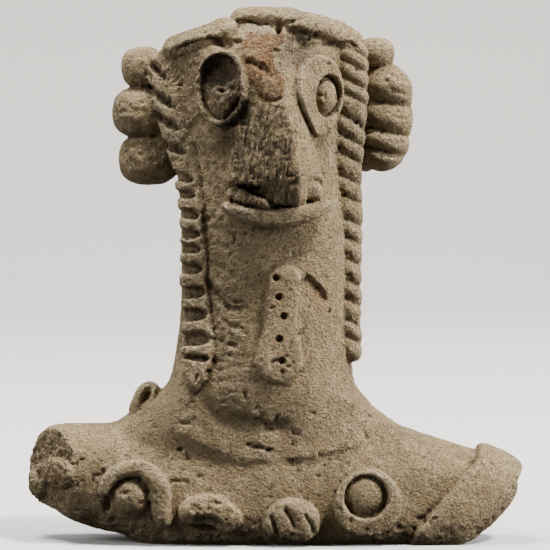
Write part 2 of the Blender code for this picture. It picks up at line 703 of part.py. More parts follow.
def add_mouth(clay, surface):
    lower = lying(surface, LOWER_LIP_PATH)
    add_strip(clay, surface, lower, LOWER_LIP_HALF_HEIGHTS, LOWER_LIP_REACH, fullness=LIP_FULLNESS)
    add_strip(
        clay, surface, scaled(UPPER_LIP_PATH), UPPER_LIP_HALF_HEIGHTS, UPPER_LIP_REACH, facing=FRONT,
        sink=UPPER_LIP_SINK,
    )
    place, normal = surface.from_front(*LIP_PELLET)
    add_lump(clay, place + normal * LIP_PELLET_LIFT, (LIP_PELLET_RADIUS,) * 3, fullness=BALL_FULLNESS)


def add_tresses(clay, surface):
    left = scaled(LEFT_TRESS_PATH)
    sizes = [size * MM for size in LEFT_TRESS_NOTCH_SIZES]
    add_strip(
        clay, surface, left, LEFT_TRESS_HALF_WIDTHS, TRESS_HEIGHT, fullness=LEFT_TRESS_FULLNESS,
        notches=list(zip(places_at(left, LEFT_TRESS_NOTCHES), sizes)), notch_ends=LEFT_TRESS_NOTCH_ENDS,
        slants=LEFT_TRESS_SLANTS, lean=TRESS_LEAN, sink=TRESS_SINK, end_round=LEFT_TRESS_END_ROUND,
    )
    right = scaled(RIGHT_TRESS_PATH)
    add_strip(
        clay, surface, right, RIGHT_TRESS_HALF_WIDTHS, TRESS_HEIGHT, slants=(RIGHT_TRESS_SLANT,),
        creases=places_at(right, RIGHT_TRESS_CREASES), crease_depth=RIGHT_TRESS_CREASE_DEPTH,
        lean=TRESS_LEAN, sink=TRESS_SINK, reverse=True,
    )


def add_buns(clay, surface):
    for centre, radii in (*LEFT_BUNS, RIGHT_TOP_BUN, *HAIR_MASSES):
        add_lump(clay, Vector(centre) * MM, [r * MM for r in radii])
    bun = scaled(RIGHT_BUN_PATH)
    add_strip(
        clay, surface, bun, RIGHT_BUN_HALF_WIDTHS, RIGHT_BUN_HEIGHT, facing=FRONT, sink=RIGHT_BUN_HEIGHT,
        creases=places_at(bun, RIGHT_BUN_CREASES), crease_depth=RIGHT_BUN_CREASE_DEPTH,
        slants=(RIGHT_BUN_SLANT,),
    )


def add_bands(clay, surface):
    add_strip(clay, surface, scaled(LEFT_BAND_PATH), LEFT_BAND_HALF_WIDTHS, LEFT_BAND_HEIGHT)
    add_strip(clay, surface, scaled(CROWN_BAND_PATH), CROWN_BAND_HALF_WIDTHS, CROWN_BAND_HEIGHT)
    add_strip(clay, surface, scaled(RIGHT_BAND_PATH), RIGHT_BAND_HALF_WIDTHS, RIGHT_BAND_HEIGHT)


def add_throat_strip(clay, surface):
    path = lying(surface, [(x, z) for z, x, _ in THROAT_STRIP])
    half_widths = [half for _, _, half in THROAT_STRIP]
    add_strip(clay, surface, path, half_widths, THROAT_STRIP_HEIGHT, fullness=THROAT_STRIP_FULLNESS)


def add_chest_discs(clay, surface):
    seat = surface.seat(*RIGHT_DISC)
    add_disc(
        clay, surface, seat, (DISC_RADIUS, DISC_RADIUS), DISC_THICKNESS, DISC_HOLE_SHARE, DISC_HOLE_DEPTH,
        DISC_HOLE_SHIFT,
    )
    add_pellet(clay, surface, seat, (DISC_PELLET_RADIUS,) * 2, DISC_PELLET_HEIGHT, DISC_PELLET_SHIFT)
    add_pellet(clay, surface, surface.seat(*LEFT_PELLET), (LEFT_PELLET_RADIUS,) * 2, LEFT_PELLET_HEIGHT)
    hood = lying(surface, HOOD_PATH)
    add_strip(
        clay, surface, hood, HOOD_HALF_WIDTHS, HOOD_HEIGHT, fullness=HOOD_FULLNESS, end_round=HOOD_END_ROUND
    )


def add_lumps(clay, surface):
    add_strip(clay, surface, lying(surface, RIDGE_LUMP_PATH), RIDGE_LUMP_HALF_WIDTHS, RIDGE_LUMP_HEIGHT)
    add_strip(clay, surface, lying(surface, FINGER_LUMP_PATH), FINGER_LUMP_HALF_WIDTHS, FINGER_LUMP_HEIGHT)
    centre, radii = SHOULDER_STUB
    add_lump(clay, Vector(centre) * MM, [r * MM for r in radii], turn=SHOULDER_STUB_TURN)
    along_break = -math.atan2(1.0, STUMP_BREAK_SLANT)
    for centre, radii in STUMP_LUMPS:
        add_lump(clay, Vector(centre) * MM, [r * MM for r in radii], swing=along_break)


def add_strap(clay, surface):
    add_strip(
        clay, surface, scaled(STRAP_PATH), (STRAP_HALF_WIDTH,), STRAP_HEIGHT, fullness=STRAP_FULLNESS,
        end_round=0.0, sink=STRAP_SINK,
    )


def distance_to_path(across, up, path):
    """Distance in the front view from each place to a line of points."""
    best = np.full(len(across), np.inf)
    for (x0, z0), (x1, z1) in zip(path, path[1:]):
        dx, dz = x1 - x0, z1 - z0
        t = np.clip(((across - x0) * dx + (up - z0) * dz) / (dx * dx + dz * dz), 0, 1)
        best = np.minimum(best, np.hypot(across - x0 - t * dx, up - z0 - t * dz))
    return best


def carve(mesh):
    """Presses the creases and hollows into the front of a skin."""
    flat = np.empty(len(mesh.vertices) * 3)
    mesh.vertices.foreach_get("co", flat)
    places = flat.reshape(-1, 3) / MM
    normals = np.empty(len(flat))
    mesh.vertex_normals.foreach_get("vector", normals)
    normals = normals.reshape(-1, 3)
    across, _, up = places.T
    depth = np.zeros(len(places))
    for path, half_width, deep in CREASES:
        depth += deep * (1 - fade(distance_to_path(across, up, path), 0.0, half_width))
    for x, z, half_width, half_height, deep in HOLLOWS:
        away = np.hypot((across - x) / half_width, (up - z) / half_height)
        depth += deep * (1 - fade(away, HOLLOW_FLOOR, 1.0))
    depth *= fade(-normals[:, 1], *CREASED_FACING)
    mesh.vertices.foreach_set("co", ((places - normals * depth[:, None]) * MM).ravel())
    mesh.update()


def punch_cutters(surface):
    """Tapered pegs at the punch holes, standing a little proud of the strip."""
    clay = bmesh.new()
    length = THROAT_STRIP_HEIGHT + PUNCH_DEPTH
    for x, z in PUNCH_HOLES:
        place, normal = surface.from_front(x * MM, z * MM)
        turn = normal.to_track_quat("Z", "Y").to_matrix().to_4x4()
        middle = place + normal * (THROAT_STRIP_HEIGHT + PUNCH_CLEARANCE + length / 2 - PUNCH_DEPTH)
        bmesh.ops.create_cone(
            clay, cap_ends=True, segments=PUNCH_CORNERS, radius1=PUNCH_RADIUS * (1 - PUNCH_TAPER),
            radius2=PUNCH_RADIUS, depth=length, matrix=Matrix.Translation(middle) @ turn,
        )
    bmesh.ops.transform(clay, matrix=stretch(), verts=clay.verts)
    return helper("punches", clay)


def break_cutter():
    """A block, twice as wide as the bust, whose top is the flat break that the bust stands on."""
    clay = bmesh.new()
    side = 2 * BUST_WIDTH
    height = BUST_HEIGHT / 2
    place = Matrix.Translation((0, 0, -height / 2)) @ Matrix.Diagonal((side, side, height, 1))
    bmesh.ops.create_cube(clay, size=1.0, matrix=place)
    return helper("break_below", clay)


def helper(name, clay):
    mesh = bpy.data.meshes.new(name)
    clay.to_mesh(mesh)
    clay.free()
    obj = bpy.data.objects.new(name, mesh)
    bpy.context.scene.collection.objects.link(obj)
    obj.hide_render = True
    obj.display_type = "WIRE"
    return obj


def cut(obj, cutter):
    modifier = obj.modifiers.new(cutter.name, "BOOLEAN")
    modifier.operation = "DIFFERENCE"
    modifier.solver = "EXACT"
    modifier.object = cutter


def clay_material():
    material = bpy.data.materials.new("fired_clay")
    material.use_nodes = True
    shader = material.node_tree.nodes["Principled BSDF"]
    shader.inputs["Base Color"].default_value = CLAY_COLOUR
    shader.inputs["Roughness"].default_value = CLAY_ROUGHNESS
    shader.inputs["Metallic"].default_value = 0.0
    return material


def stretch():
    """From the size that the tables are laid out at to the size of the bust."""
    wide, deep, high = LAID_OUT_SIZE
    return Matrix.Diagonal((BUST_WIDTH / wide, BUST_DEPTH / deep, BUST_HEIGHT / high, 1.0))


def build_core():
    """Column, shoulders and nose in one skin, as a mesh."""
    clay = bmesh.new()
    add_skin(clay, column_rings())
    add_skin(clay, shoulder_rings())
    add_skin(clay, nose_rings())
    core = fused(clay, CORE_GRAIN, CORE_SMOOTHING)
    clay.free()
    return core


def build_skin(core, surface):
    """The core with everything pressed on it, fused and carved, as a mesh of the bust's real size."""
    clay = bmesh.new()
    clay.from_mesh(core)
    add_eyes(clay, surface)
    add_mouth(clay, surface)
    add_tresses(clay, surface)
    add_buns(clay, surface)
    add_bands(clay, surface)
    add_throat_strip(clay, surface)
    add_chest_discs(clay, surface)
    add_lumps(clay, surface)
    add_strap(clay, surface)
    skin = fused(clay, FUSE_GRAIN, FUSE_SMOOTHING)
    clay.free()
    carve(skin)
    skin.transform(stretch())
    return skin


def build_bust():
    core = build_core()
    surface = Surface(core)
    skin = build_skin(core, surface)
    skin.name = "bust"
    bust = bpy.data.objects.new("bust", skin)
    bpy.context.scene.collection.objects.link(bust)
    skin.calc_loop_triangles()
    thin = bust.modifiers.new("thin", "DECIMATE")
    thin.ratio = min(1.0, KEPT_TRIANGLES / len(skin.loop_triangles))
    cut(bust, break_cutter())
    cut(bust, punch_cutters(surface))
    skin.materials.clear()
    skin.materials.append(clay_material())


clear_scene()
build_bust()
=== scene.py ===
"""A hand-modelled terracotta bust of an idol, with its clay, earth, painted shade and breaks, on a pale
studio floor.

The clay is laid up as the maker did it: column, shoulder roll and pinched nose first, then the discs, strips
and lumps pressed on, each seated on the surface under it. All of it is fused into one skin, then folded,
dented, pitted and rubbed, with painted shade in its hollows and painted highlights on its crests and brow.
Lengths are in metres, and the tables of places are in millimetres.
"""

import json
import math
from collections import Counter

import bmesh
import bpy
import numpy as np
from bpy.props import FloatProperty, FloatVectorProperty, IntProperty, PointerProperty
from mathutils import Matrix, Vector
from mathutils.bvhtree import BVHTree

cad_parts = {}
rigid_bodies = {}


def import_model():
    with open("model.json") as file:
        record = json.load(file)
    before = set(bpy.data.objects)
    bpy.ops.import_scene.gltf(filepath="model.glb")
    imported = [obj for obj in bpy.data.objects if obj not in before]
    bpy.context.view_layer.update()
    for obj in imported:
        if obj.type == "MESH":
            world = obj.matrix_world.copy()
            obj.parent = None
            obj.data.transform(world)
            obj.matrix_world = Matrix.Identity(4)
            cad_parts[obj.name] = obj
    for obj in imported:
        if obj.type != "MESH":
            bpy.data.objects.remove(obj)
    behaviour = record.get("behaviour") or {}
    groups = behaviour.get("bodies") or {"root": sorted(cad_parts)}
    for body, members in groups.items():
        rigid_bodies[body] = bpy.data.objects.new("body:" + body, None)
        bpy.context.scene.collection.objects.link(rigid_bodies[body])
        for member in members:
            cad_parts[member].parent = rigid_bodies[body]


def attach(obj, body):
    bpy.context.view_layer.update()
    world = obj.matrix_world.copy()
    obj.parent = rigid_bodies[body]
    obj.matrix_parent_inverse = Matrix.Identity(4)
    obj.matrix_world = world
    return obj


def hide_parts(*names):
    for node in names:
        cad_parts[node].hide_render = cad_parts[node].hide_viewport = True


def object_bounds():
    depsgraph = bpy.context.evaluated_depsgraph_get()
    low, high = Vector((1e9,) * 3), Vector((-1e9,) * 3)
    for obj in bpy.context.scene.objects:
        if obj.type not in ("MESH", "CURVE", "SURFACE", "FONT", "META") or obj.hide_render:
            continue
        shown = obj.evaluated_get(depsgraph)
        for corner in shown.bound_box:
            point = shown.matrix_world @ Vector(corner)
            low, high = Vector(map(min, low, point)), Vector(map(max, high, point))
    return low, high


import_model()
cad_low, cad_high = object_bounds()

bl_info = {
    "name": "Clay idol bust",
    "version": (1, 0, 0),
    "blender": (4, 5, 0),
    "location": "View3D > Sidebar > Clay bust",
    "description": "Models a hand-made terracotta bust, broken below the chest, with its wear and its studio",
    "category": "Add Mesh",
}

MM = 0.001
FRONT = Vector((0, -1, 0))
STEP = 0.25 * MM
DRAPE_FROM = 12 * MM
DRAPE_LOWEST = -4 * MM

# Neck and head column: height, middle, half width, reach in front, reach behind, fullness of the front
COLUMN_LEVELS = (
    (14.0, -1.5, 45.0, 15.5, 12.0, 2.2),
    (24.0, -4.0, 40.0, 16.6, 13.5, 2.2),
    (28.0, -4.8, 36.6, 17.2, 14.2, 2.2),
    (32.0, -4.9, 31.2, 18.0, 15.0, 2.2),
    (36.0, -4.0, 26.4, 18.8, 15.8, 2.3),
    (40.0, -3.4, 23.2, 19.2, 16.4, 2.4),
    (46.0, -2.9, 22.0, 18.8, 16.8, 2.4),
    (60.0, -2.3, 21.1, 18.2, 17.0, 2.5),
    (80.0, -2.3, 21.1, 18.6, 17.4, 2.3),
    (92.0, -2.6, 21.6, 20.0, 18.0, 1.75),
    (104.0, -3.0, 24.0, 21.8, 18.6, 1.5),
    (114.0, -3.2, 25.6, 22.4, 18.6, 1.45),
    (121.0, -3.0, 25.6, 20.0, 17.2, 1.6),
    (126.0, -0.8, 20.6, 15.0, 13.4, 1.9),
    (129.6, 0.2, 14.6, 10.0, 9.2, 2.0),
    (131.4, -1.4, 7.0, 5.0, 5.0, 2.0),
)
COLUMN_BACK_FULLNESS = 2.4

# Shoulder roll: place across, underside, top, reach in front, reach behind
SHOULDER_STATIONS = (
    (-62.6, 10.0, 19.6, 13.0, 8.0),
    (-60.0, 8.6, 25.0, 13.2, 10.4),
    (-56.0, 7.8, 28.6, 13.4, 11.6),
    (-50.0, 4.8, 29.2, 13.8, 12.2),
    (-44.0, 2.8, 29.0, 14.2, 12.6),
    (-38.0, 1.4, 29.2, 15.0, 13.0),
    (-31.0, -2.6, 29.4, 15.6, 13.2),
    (-20.0, -6.0, 29.8, 16.4, 13.6),
    (0.0, -6.0, 30.2, 17.0, 13.8),
    (20.0, -6.0, 29.8, 16.4, 13.6),
    (30.0, -5.0, 28.8, 15.6, 13.4),
    (36.0, -4.0, 26.8, 14.8, 13.0),
    (44.0, -3.0, 24.4, 14.0, 12.6),
    (50.0, 0.5, 22.6, 12.6, 12.0),
    (56.0, 5.6, 20.6, 10.4, 10.2),
    (59.6, 9.6, 18.0, 6.6, 7.0),
    (60.8, 12.0, 15.6, 3.4, 3.6),
)
SHOULDER_FULLNESS = 2.6
STUMP_BREAK_X = -49.6 * MM
STUMP_BREAK_Y = -14.0 * MM
STUMP_BREAK_SLANT = 0.58
BASE_CHIP_HEIGHT = 2.2 * MM
BASE_CHIP_DEPTH = 5.5 * MM

# Nose: height, left foot, flank, ridge left and right, right foot, then reach of the flank and of the ridge
NOSE_LEVELS = (
    (124.0, -10.0, -8.6, -7.2, 1.6, 3.6, 15.0, 16.8),
    (117.0, -10.0, -8.4, -6.6, 2.2, 4.6, 19.6, 22.0),
    (110.0, -10.2, -8.6, -5.6, 2.6, 5.8, 21.4, 24.6),
    (100.0, -11.8, -9.8, -6.0, 4.4, 7.8, 22.2, 26.6),
    (92.0, -13.2, -11.2, -7.8, 5.8, 8.6, 22.4, 27.3),
    (89.4, -13.4, -11.2, -8.2, 6.2, 7.4, 22.2, 27.3),
    (88.2, -5.4, -4.0, -1.8, 6.3, 7.0, 22.0, 27.2),
    (86.6, -3.4, -2.4, -0.8, 6.4, 7.0, 22.0, 26.8),
    (84.2, -2.2, -1.4, 0.0, 6.0, 6.8, 21.0, 25.6),
)
NOSE_FOOT_REACH = 15.0 * MM
NOSE_UNDERCUT = 2.2 * MM
NOSE_TURN = 3.2 * MM

LEFT_EYE = (-12.9, 113.0)
RIGHT_EYE = (10.3, 111.2)
LEFT_EYE_RADII = (7.1, 9.2)
RIGHT_EYE_RADII = (7.6, 9.7)

LOWER_LIP_PATH = (
    (-11.8, 84.6), (-9.1, 82.9), (-5.0, 81.9), (0.0, 81.3), (4.0, 81.9), (7.5, 82.9), (11.5, 84.6)
)
LOWER_LIP_HALF_HEIGHTS = (1.1, 1.9, 2.2, 2.3, 2.3, 1.9, 1.1)
UPPER_LIP_PATH = ((-11.2, -18.0, 87.2), (-8.6, -20.6, 86.7), (-5.2, -22.6, 85.6), (-1.2, -24.0, 84.3))
LIP_PELLET = (9.4, 87.4)

LEFT_TRESS_PATH = (
    (-32.4, -6.0, 123.0), (-30.4, -7.0, 116.6), (-28.4, -8.0, 110.0), (-27.0, -9.0, 104.0),
    (-26.0, -10.0, 97.5), (-24.6, -12.0, 90.0), (-22.6, -14.0, 80.0), (-21.4, -14.0, 68.0),
    (-20.2, -14.0, 57.0), (-19.4, -15.0, 48.0), (-20.6, -16.0, 38.0),
)
LEFT_TRESS_NOTCHES = (115.2, 108.4, 102.6, 96.6, 90.2, 86.2, 81.6, 76.9, 73.2, 68.4, 62.6, 57.0, 50.9, 46.4)
LEFT_TRESS_NOTCH_SIZES = (1.35, 1.4, 1.3, 1.15, 1.3, 1.2, 1.2, 1.2, 1.2, 1.4, 1.7, 1.8, 1.9, 0.8)
LEFT_TRESS_CUT_ENDS = (0.2, 0.3, 0.3, 0.5, 0.7, 0.8, 0.85, 0.8)
LEFT_TRESS_HALF_WIDTHS = (4.6, 4.6, 4.5, 3.7, 3.4, 3.5, 3.8, 4.3, 2.4)
LEFT_TRESS_SLANTS = (-1.2, -1.1, -0.7, -0.3, -0.1, 0.0, 0.0, -0.2)
RIGHT_TRESS_PATH = (
    (19.4, -8.0, 125.0), (20.8, -9.0, 116.0), (21.4, -9.0, 106.0), (21.2, -8.0, 97.0),
    (20.6, -7.0, 90.0), (21.0, -6.0, 76.0), (21.0, -6.0, 60.0), (20.2, -6.0, 44.8),
)
RIGHT_TRESS_NOTCHES = (
    122.0, 118.4, 114.2, 110.6, 104.8, 100.2, 95.8, 90.4, 85.6, 79.8, 75.0, 69.8, 64.6, 60.0, 54.6, 50.6
)
RIGHT_TRESS_HALF_WIDTHS = (3.8, 4.1, 4.2, 3.4, 2.9, 2.8, 2.7)

LEFT_BUNS = (
    ((-32.8, 0.0, 118.0), (5.6, 6.4, 5.2)),
    ((-33.2, -0.5, 107.0), (7.4, 7.6, 6.3)),
    ((-31.4, 0.5, 95.2), (7.7, 7.4, 6.4)),
)
RIGHT_TOP_BUN = ((25.2, 0.0, 121.6), (4.6, 5.6, 3.8))
HAIR_MASSES = (
    ((-27.6, 3.0, 106.0), (5.0, 8.0, 16.0)),
    ((22.4, 3.0, 107.0), (4.6, 8.0, 15.0)),
)
RIGHT_BUN_PATH = (
    (26.8, 0.0, 119.4), (27.6, 0.0, 112.0), (27.4, 0.0, 104.0), (26.6, 0.0, 97.0), (25.8, 0.0, 92.2)
)
RIGHT_BUN_HALF_WIDTHS = (4.8, 6.7, 6.9, 6.5, 5.2)
RIGHT_BUN_GROOVES = (109.2, 102.2, 97.4)

LEFT_BAND_PATH = ((-28.0, -6.0, 122.6), (-22.0, -10.0, 125.2), (-16.0, -12.0, 127.4), (-9.6, -12.0, 129.4))
CROWN_BAND_PATH = ((-11.0, -7.0, 130.2), (-5.0, -8.0, 131.8), (1.0, -9.0, 131.0), (7.0, -8.0, 130.4))
RIGHT_BAND_PATH = ((1.6, -10.0, 128.4), (8.0, -11.0, 128.6), (15.0, -10.0, 127.0), (22.5, -6.0, 123.4))

THROAT_STRIP = (
    (69.6, 3.2, 3.4),
    (66.0, 2.6, 4.1),
    (62.0, 2.0, 4.0),
    (56.6, 1.4, 4.1),
    (51.0, 1.2, 5.2),
    (45.0, 0.9, 5.9),
    (40.4, 0.8, 5.0),
)
PUNCH_HOLES = ((0.3, 66.3), (1.0, 61.7), (2.2, 57.0), (1.1, 51.4), (1.8, 46.1))
PUNCH_DEPTH = 3.0 * MM
PUNCH_LEAN = 0.25

RIGHT_DISC = (22.8, 10.8)
LEFT_PELLET = (-35.5, 11.9)
HOOD_PATH = (
    (-42.6, 12.4), (-41.3, 15.8), (-38.0, 18.6), (-33.4, 19.4), (-30.0, 17.3), (-28.1, 13.3), (-28.0, 9.4),
    (-26.8, 5.2),
)
HOOD_HALF_WIDTHS = (1.2, 1.7, 1.9, 2.0, 2.3, 2.6, 2.5, 1.8)
RIDGE_LUMP_PATH = ((-22.8, 6.4), (-20.0, 9.0), (-16.0, 9.4), (-12.0, 7.6), (-9.2, 4.6))
FINGER_LUMP_PATH = ((-2.6, 4.6), (3.4, 7.2), (10.6, 4.6))
FINGER_LUMP_HALF_WIDTHS = (2.6, 5.2, 5.2)
STUMP_LUMPS = (
    ((-54.0, -7.3, 17.5), (8.2, 1.8, 3.8)),
    ((-59.0, 1.2, 14.4), (3.8, 2.3, 4.3)),
)
SHOULDER_STUB = ((-32.4, -3.0, 34.6), (3.3, 3.6, 5.4))
SHOULDER_STUB_TURN = 0.45
STRAP_PATH = (
    (56.6, 7.0, 21.6), (56.2, -3.0, 20.6), (54.4, -10.0, 17.1), (50.0, -14.0, 12.0), (44.9, -15.0, 6.0),
    (40.5, -14.0, 0.4), (38.7, -11.0, -3.6),
)

# Folds and cracks seen from the front: path across and up, half width on its left and on its right, depth. A
# negative depth stands proud, here and in the dents.
FOLDS = (
    (((-19.8, 37.0), (-15.2, 34.2), (-11.2, 32.6), (-5.0, 30.8), (0.0, 29.8), (5.0, 30.8)), 1.1, 3.6, 1.0),
    (((-28.2, 31.0), (-22.0, 27.6), (-17.5, 25.2), (-12.0, 22.8), (-9.5, 21.9), (0.8, 21.8), (10.0, 23.2),
      (18.5, 25.0), (25.0, 26.7)), 2.4, 1.2, -0.6),
    (((-17.2, 67.8), (-15.6, 64.4), (-13.4, 61.6), (-10.8, 59.4), (-7.0, 58.8)), 0.3, 1.0, 0.95),
    (((-16.6, 68.6), (-14.6, 64.8), (-12.2, 62.6), (-9.4, 60.6)), 0.9, 0.4, -0.35),
    (((-13.2, 56.5), (-11.0, 54.8), (-7.0, 53.6)), 0.35, 0.35, 0.35),
    (((-17.4, 52.0), (-12.0, 50.6)), 0.4, 0.4, 0.3),
    (((7.4, 67.4), (9.6, 65.4), (11.8, 62.4), (13.0, 59.8)), 0.35, 3.6, 1.1),
    (((-25.8, 121.6), (-21.2, 123.8), (-16.2, 125.2), (-12.2, 124.2), (-9.2, 125.2)), 0.5, 1.1, 1.4),
    (((-10.4, 129.8), (-4.4, 129.0), (0.4, 127.6), (3.8, 129.2), (8.6, 131.2)), 0.4, 0.5, 0.8),
    (((2.2, 125.4), (6.2, 125.4), (9.6, 123.8), (13.8, 123.7), (18.8, 124.2), (21.8, 123.2)), 0.4, 1.2, 1.0),
    (((-1.4, 83.6), (2.5, 84.1), (6.5, 85.0), (11.6, 85.9)), 0.4, 0.4, 0.35),
    (((-11.2, 85.2), (-6.5, 83.9), (-1.6, 83.2)), 0.3, 0.3, 0.6),
    (((-11.6, 84.2), (-6.5, 83.0), (0.0, 82.4), (5.5, 83.2), (11.2, 84.8)), 0.6, 0.6, -0.3),
    (((-14.8, 47.4), (-16.6, 43.4), (-18.4, 40.4), (-20.6, 37.6)), 0.9, 0.35, 1.0),
    (((6.8, 88.4), (7.6, 89.9), (9.4, 90.5), (11.2, 90.0), (12.2, 88.4)), 0.4, 0.4, 0.6),
    (((29.4, 116.2), (33.4, 114.4)), 0.5, 0.7, 0.5),
    (((28.2, 112.6), (33.6, 111.2)), 0.5, 0.7, 0.45),
    (((28.6, 106.2), (33.2, 105.2)), 0.5, 0.6, 0.35),
    (((28.0, 99.6), (32.6, 99.8)), 0.4, 0.6, 0.35),
    (((2.3, 10.2), (4.0, 7.6), (5.2, 4.2)), 0.5, 0.6, 1.4),
    (((-1.2, 8.4), (0.2, 5.2), (1.0, 2.0)), 0.45, 0.6, 1.3),
    (((7.0, 8.8), (8.8, 5.8), (9.8, 3.0)), 0.45, 0.55, 0.9),
    (((31.8, 2.6), (37.6, 8.0), (43.4, 13.6), (48.0, 18.4), (51.4, 22.4)), 0.5, 0.35, 0.35),
    (((-7.6, 119.6), (-5.2, 118.9), (-3.0, 117.8), (-0.8, 116.6)), 0.5, 0.7, 1.0),
    (((-8.2, 121.0), (-5.4, 120.5), (-2.8, 119.2), (-1.0, 118.0)), 0.7, 0.6, -0.5),
    (((-3.9, 111.6), (-2.6, 109.9), (0.0, 109.6), (1.8, 110.8)), 0.35, 0.5, 0.7),
    (((9.0, 125.6), (7.6, 124.6), (6.2, 123.2)), 0.4, 0.5, 0.7),
)
# Dents seen from the front: across, up, half width, half height, turn in degrees, depth
DENTS = (
    (-4.0, 24.4, 2.6, 0.8, -6, 0.9),
    (-1.6, 23.8, 1.2, 0.7, 10, 1.0),
    (-6.4, 25.2, 0.9, 0.6, 0, 0.6),
    (-23.4, 23.8, 0.9, 0.6, 0, 0.8),
    (-16.2, 5.6, 5.4, 2.2, -14, 1.7),
    (-41.6, 10.4, 1.3, 2.4, 0, 1.8),
    (-45.4, 6.0, 2.8, 1.6, -30, 0.8),
    (-32.1, 36.4, 1.6, 2.7, -24, 1.9),
    (0.9, 127.4, 0.9, 1.4, 0, 1.6),
    (5.0, 123.4, 4.8, 4.4, 0, 0.8),
    (0.6, 122.3, 1.2, 0.5, -12, 0.9),
    (1.2, 118.6, 0.5, 0.9, 0, 0.5),
    (-1.6, 112.8, 1.8, 3.2, 0, -0.7),
    (-9.0, 124.6, 1.2, 0.8, 0, 0.9),
    (-12.9, 117.4, 4.6, 4.4, 0, 2.2),
    (-13.2, 112.2, 0.9, 0.8, 0, 1.2),
    (-11.0, 104.8, 1.6, 2.2, 20, 0.9),
    (-6.4, 88.5, 3.4, 0.9, -8, 2.4),
    (-8.4, 106.8, 2.6, 4.2, 20, 1.1),
    (-19.4, 41.6, 0.6, 1.7, -20, 0.7),
    (10.6, 62.4, 1.9, 3.0, 24, 0.6),
    (12.4, 66.0, 1.2, 1.6, 24, 0.4),
    (-18.4, 104.6, 3.0, 1.8, 20, 0.7),
    (15.0, 110.6, 0.45, 1.0, 0, 0.7),
    (-60.2, 17.6, 1.0, 3.4, 20, 1.0),
)
# Rough, crumbling places seen from the front: across, up, half width, half height, depth of the crumbling
ROUGH = (
    (-8.6, 108.0, 3.4, 6.0, 1.0),
    (-11.2, 99.0, 2.8, 8.0, 0.9),
    (-4.0, 122.0, 7.5, 9.0, 0.9),
    (6.0, 123.6, 5.5, 5.0, 0.8),
    (-20.6, 119.0, 3.2, 6.5, 0.7),
    (-14.0, 101.0, 6.0, 4.5, 0.5),
    (-13.2, 112.4, 5.5, 7.5, 0.9),
    (-3.0, 90.5, 7.0, 2.2, 0.7),
    (-16.0, 6.8, 8.0, 4.4, 0.9),
    (-43.0, 7.5, 3.4, 4.4, 0.9),
    (-30.0, 5.0, 5.0, 4.0, 0.5),
    (11.0, 62.5, 3.0, 4.0, 0.3),
    (-32.2, 35.6, 3.0, 4.0, 0.4),
    (-4.0, 24.2, 4.0, 1.6, 0.5),
    (50.0, 6.0, 4.0, 3.0, 0.6),
)

# Soft lights: name, place in metres, share of the soft lights' power
SOFT_LIGHTS = (
    ("side", (0.9, -0.14, 0.35), 0.85),
    ("top", (-0.3, 0.0, 1.1), 1.3),
    ("left", (-0.75, -0.45, 0.5), 0.3),
    ("back", (0.5, 0.85, 0.6), 0.25),
)
SOFT_LIGHT_WIDTH = 0.5
KEY_PLACE = (0.42, -0.24, 0.88)
LIGHTS_AIM = Vector((0, 0, 0.07))
FLOOR_SIZE = 4.0
BACKDROP_HEIGHT = 2.5
BACKDROP_BEND = 0.9
CAMERA_AIM = Vector((0, 0, 66.25 * MM))
SHOWN_WIDTH = 137.5 * MM


def measure(name, words, value):
    return FloatProperty(name=name, description=words, default=value, unit="LENGTH")


def colour(name, words, value):
    return FloatVectorProperty(
        name=name, description=words, default=(*value, 1.0), size=4, min=0.0, max=1.0, subtype="COLOR"
    )


class BustSizes(bpy.types.PropertyGroup):
    core_grain: measure("Core grain", "How finely the core is fused", 0.0008)
    skin_grain: measure("Skin grain", "How finely all the clay is fused", 0.00036)
    kept_triangles: IntProperty(
        name="Triangles", description="Triangles kept in the finished bust", default=190000
    )
    eye_thickness: measure("Eye disc", "How far an eye disc stands out", 0.0022)
    lip_reach: measure("Lip", "How far the lower lip stands out", 0.0056)
    tress_height: measure("Tress", "How far a tress stands out", 0.0038)
    strip_height: measure("Throat strip", "Thickness of the punched strip", 0.0017)
    disc_radius: measure("Chest disc", "Radius of a chest disc", 0.0083)
    disc_height: measure("Chest disc height", "How far a chest disc stands out", 0.0026)
    strap_height: measure("Strap", "Thickness of the arm strap", 0.0021)
    punch_radius: measure("Punch hole", "Radius of a punch hole", 0.001)
    swell: measure("Swell", "Height of the slow unevenness of hand work", 0.0003)
    pitting: measure("Pitting", "Height of the pitted skin", 0.0003)
    roughness: measure("Break roughness", "Height of the grain in broken places", 0.0004)


class BustColours(bpy.types.PropertyGroup):
    clay: colour("Clay", "The buff clay", (0.37, 0.27, 0.145))
    # Pale clay also gives the painted highlights on crests and the brow.
    clay_pale: colour("Pale clay", "Rubbed high places", (0.56, 0.45, 0.29))
    clay_dull: colour("Dull clay", "Greyed low places", (0.23, 0.172, 0.092))
    stain: colour("Orange break", "The fresh orange-brown break on the brow and stump", (0.2, 0.085, 0.026))
    deposit: colour("Deposit", "Pinkish earth left in the corners", (0.33, 0.18, 0.09))
    # This colour is dark earth, and also the painted shade in corners, notches, pits and shaded hollows.
    dirt: colour("Dirt", "Dark earth deep in notches", (0.06, 0.043, 0.026))
    scar: colour("Grey scar", "The dark scar above the right eye", (0.115, 0.088, 0.06))


class StudioSettings(bpy.types.PropertyGroup):
    floor: colour("Floor", "The pale studio floor", (0.66, 0.65, 0.63))
    key_power: FloatProperty(name="Key light", description="Strength of the main light", default=6.0)
    soft_power: FloatProperty(
        name="Soft lights", description="Power that each light takes a share of", default=17.0, unit="POWER"
    )
    sky: FloatProperty(name="Sky", description="Strength of the light from all round", default=0.05)
    distance: measure("Camera distance", "Camera to bust", 0.95)
    elevation: FloatProperty(
        name="Camera height", description="Angle above level", default=math.radians(2.5), subtype="ANGLE"
    )


def sizes():
    return bpy.context.scene.bust_sizes


def deselect_all():
    bpy.ops.object.select_all(action="DESELECT")


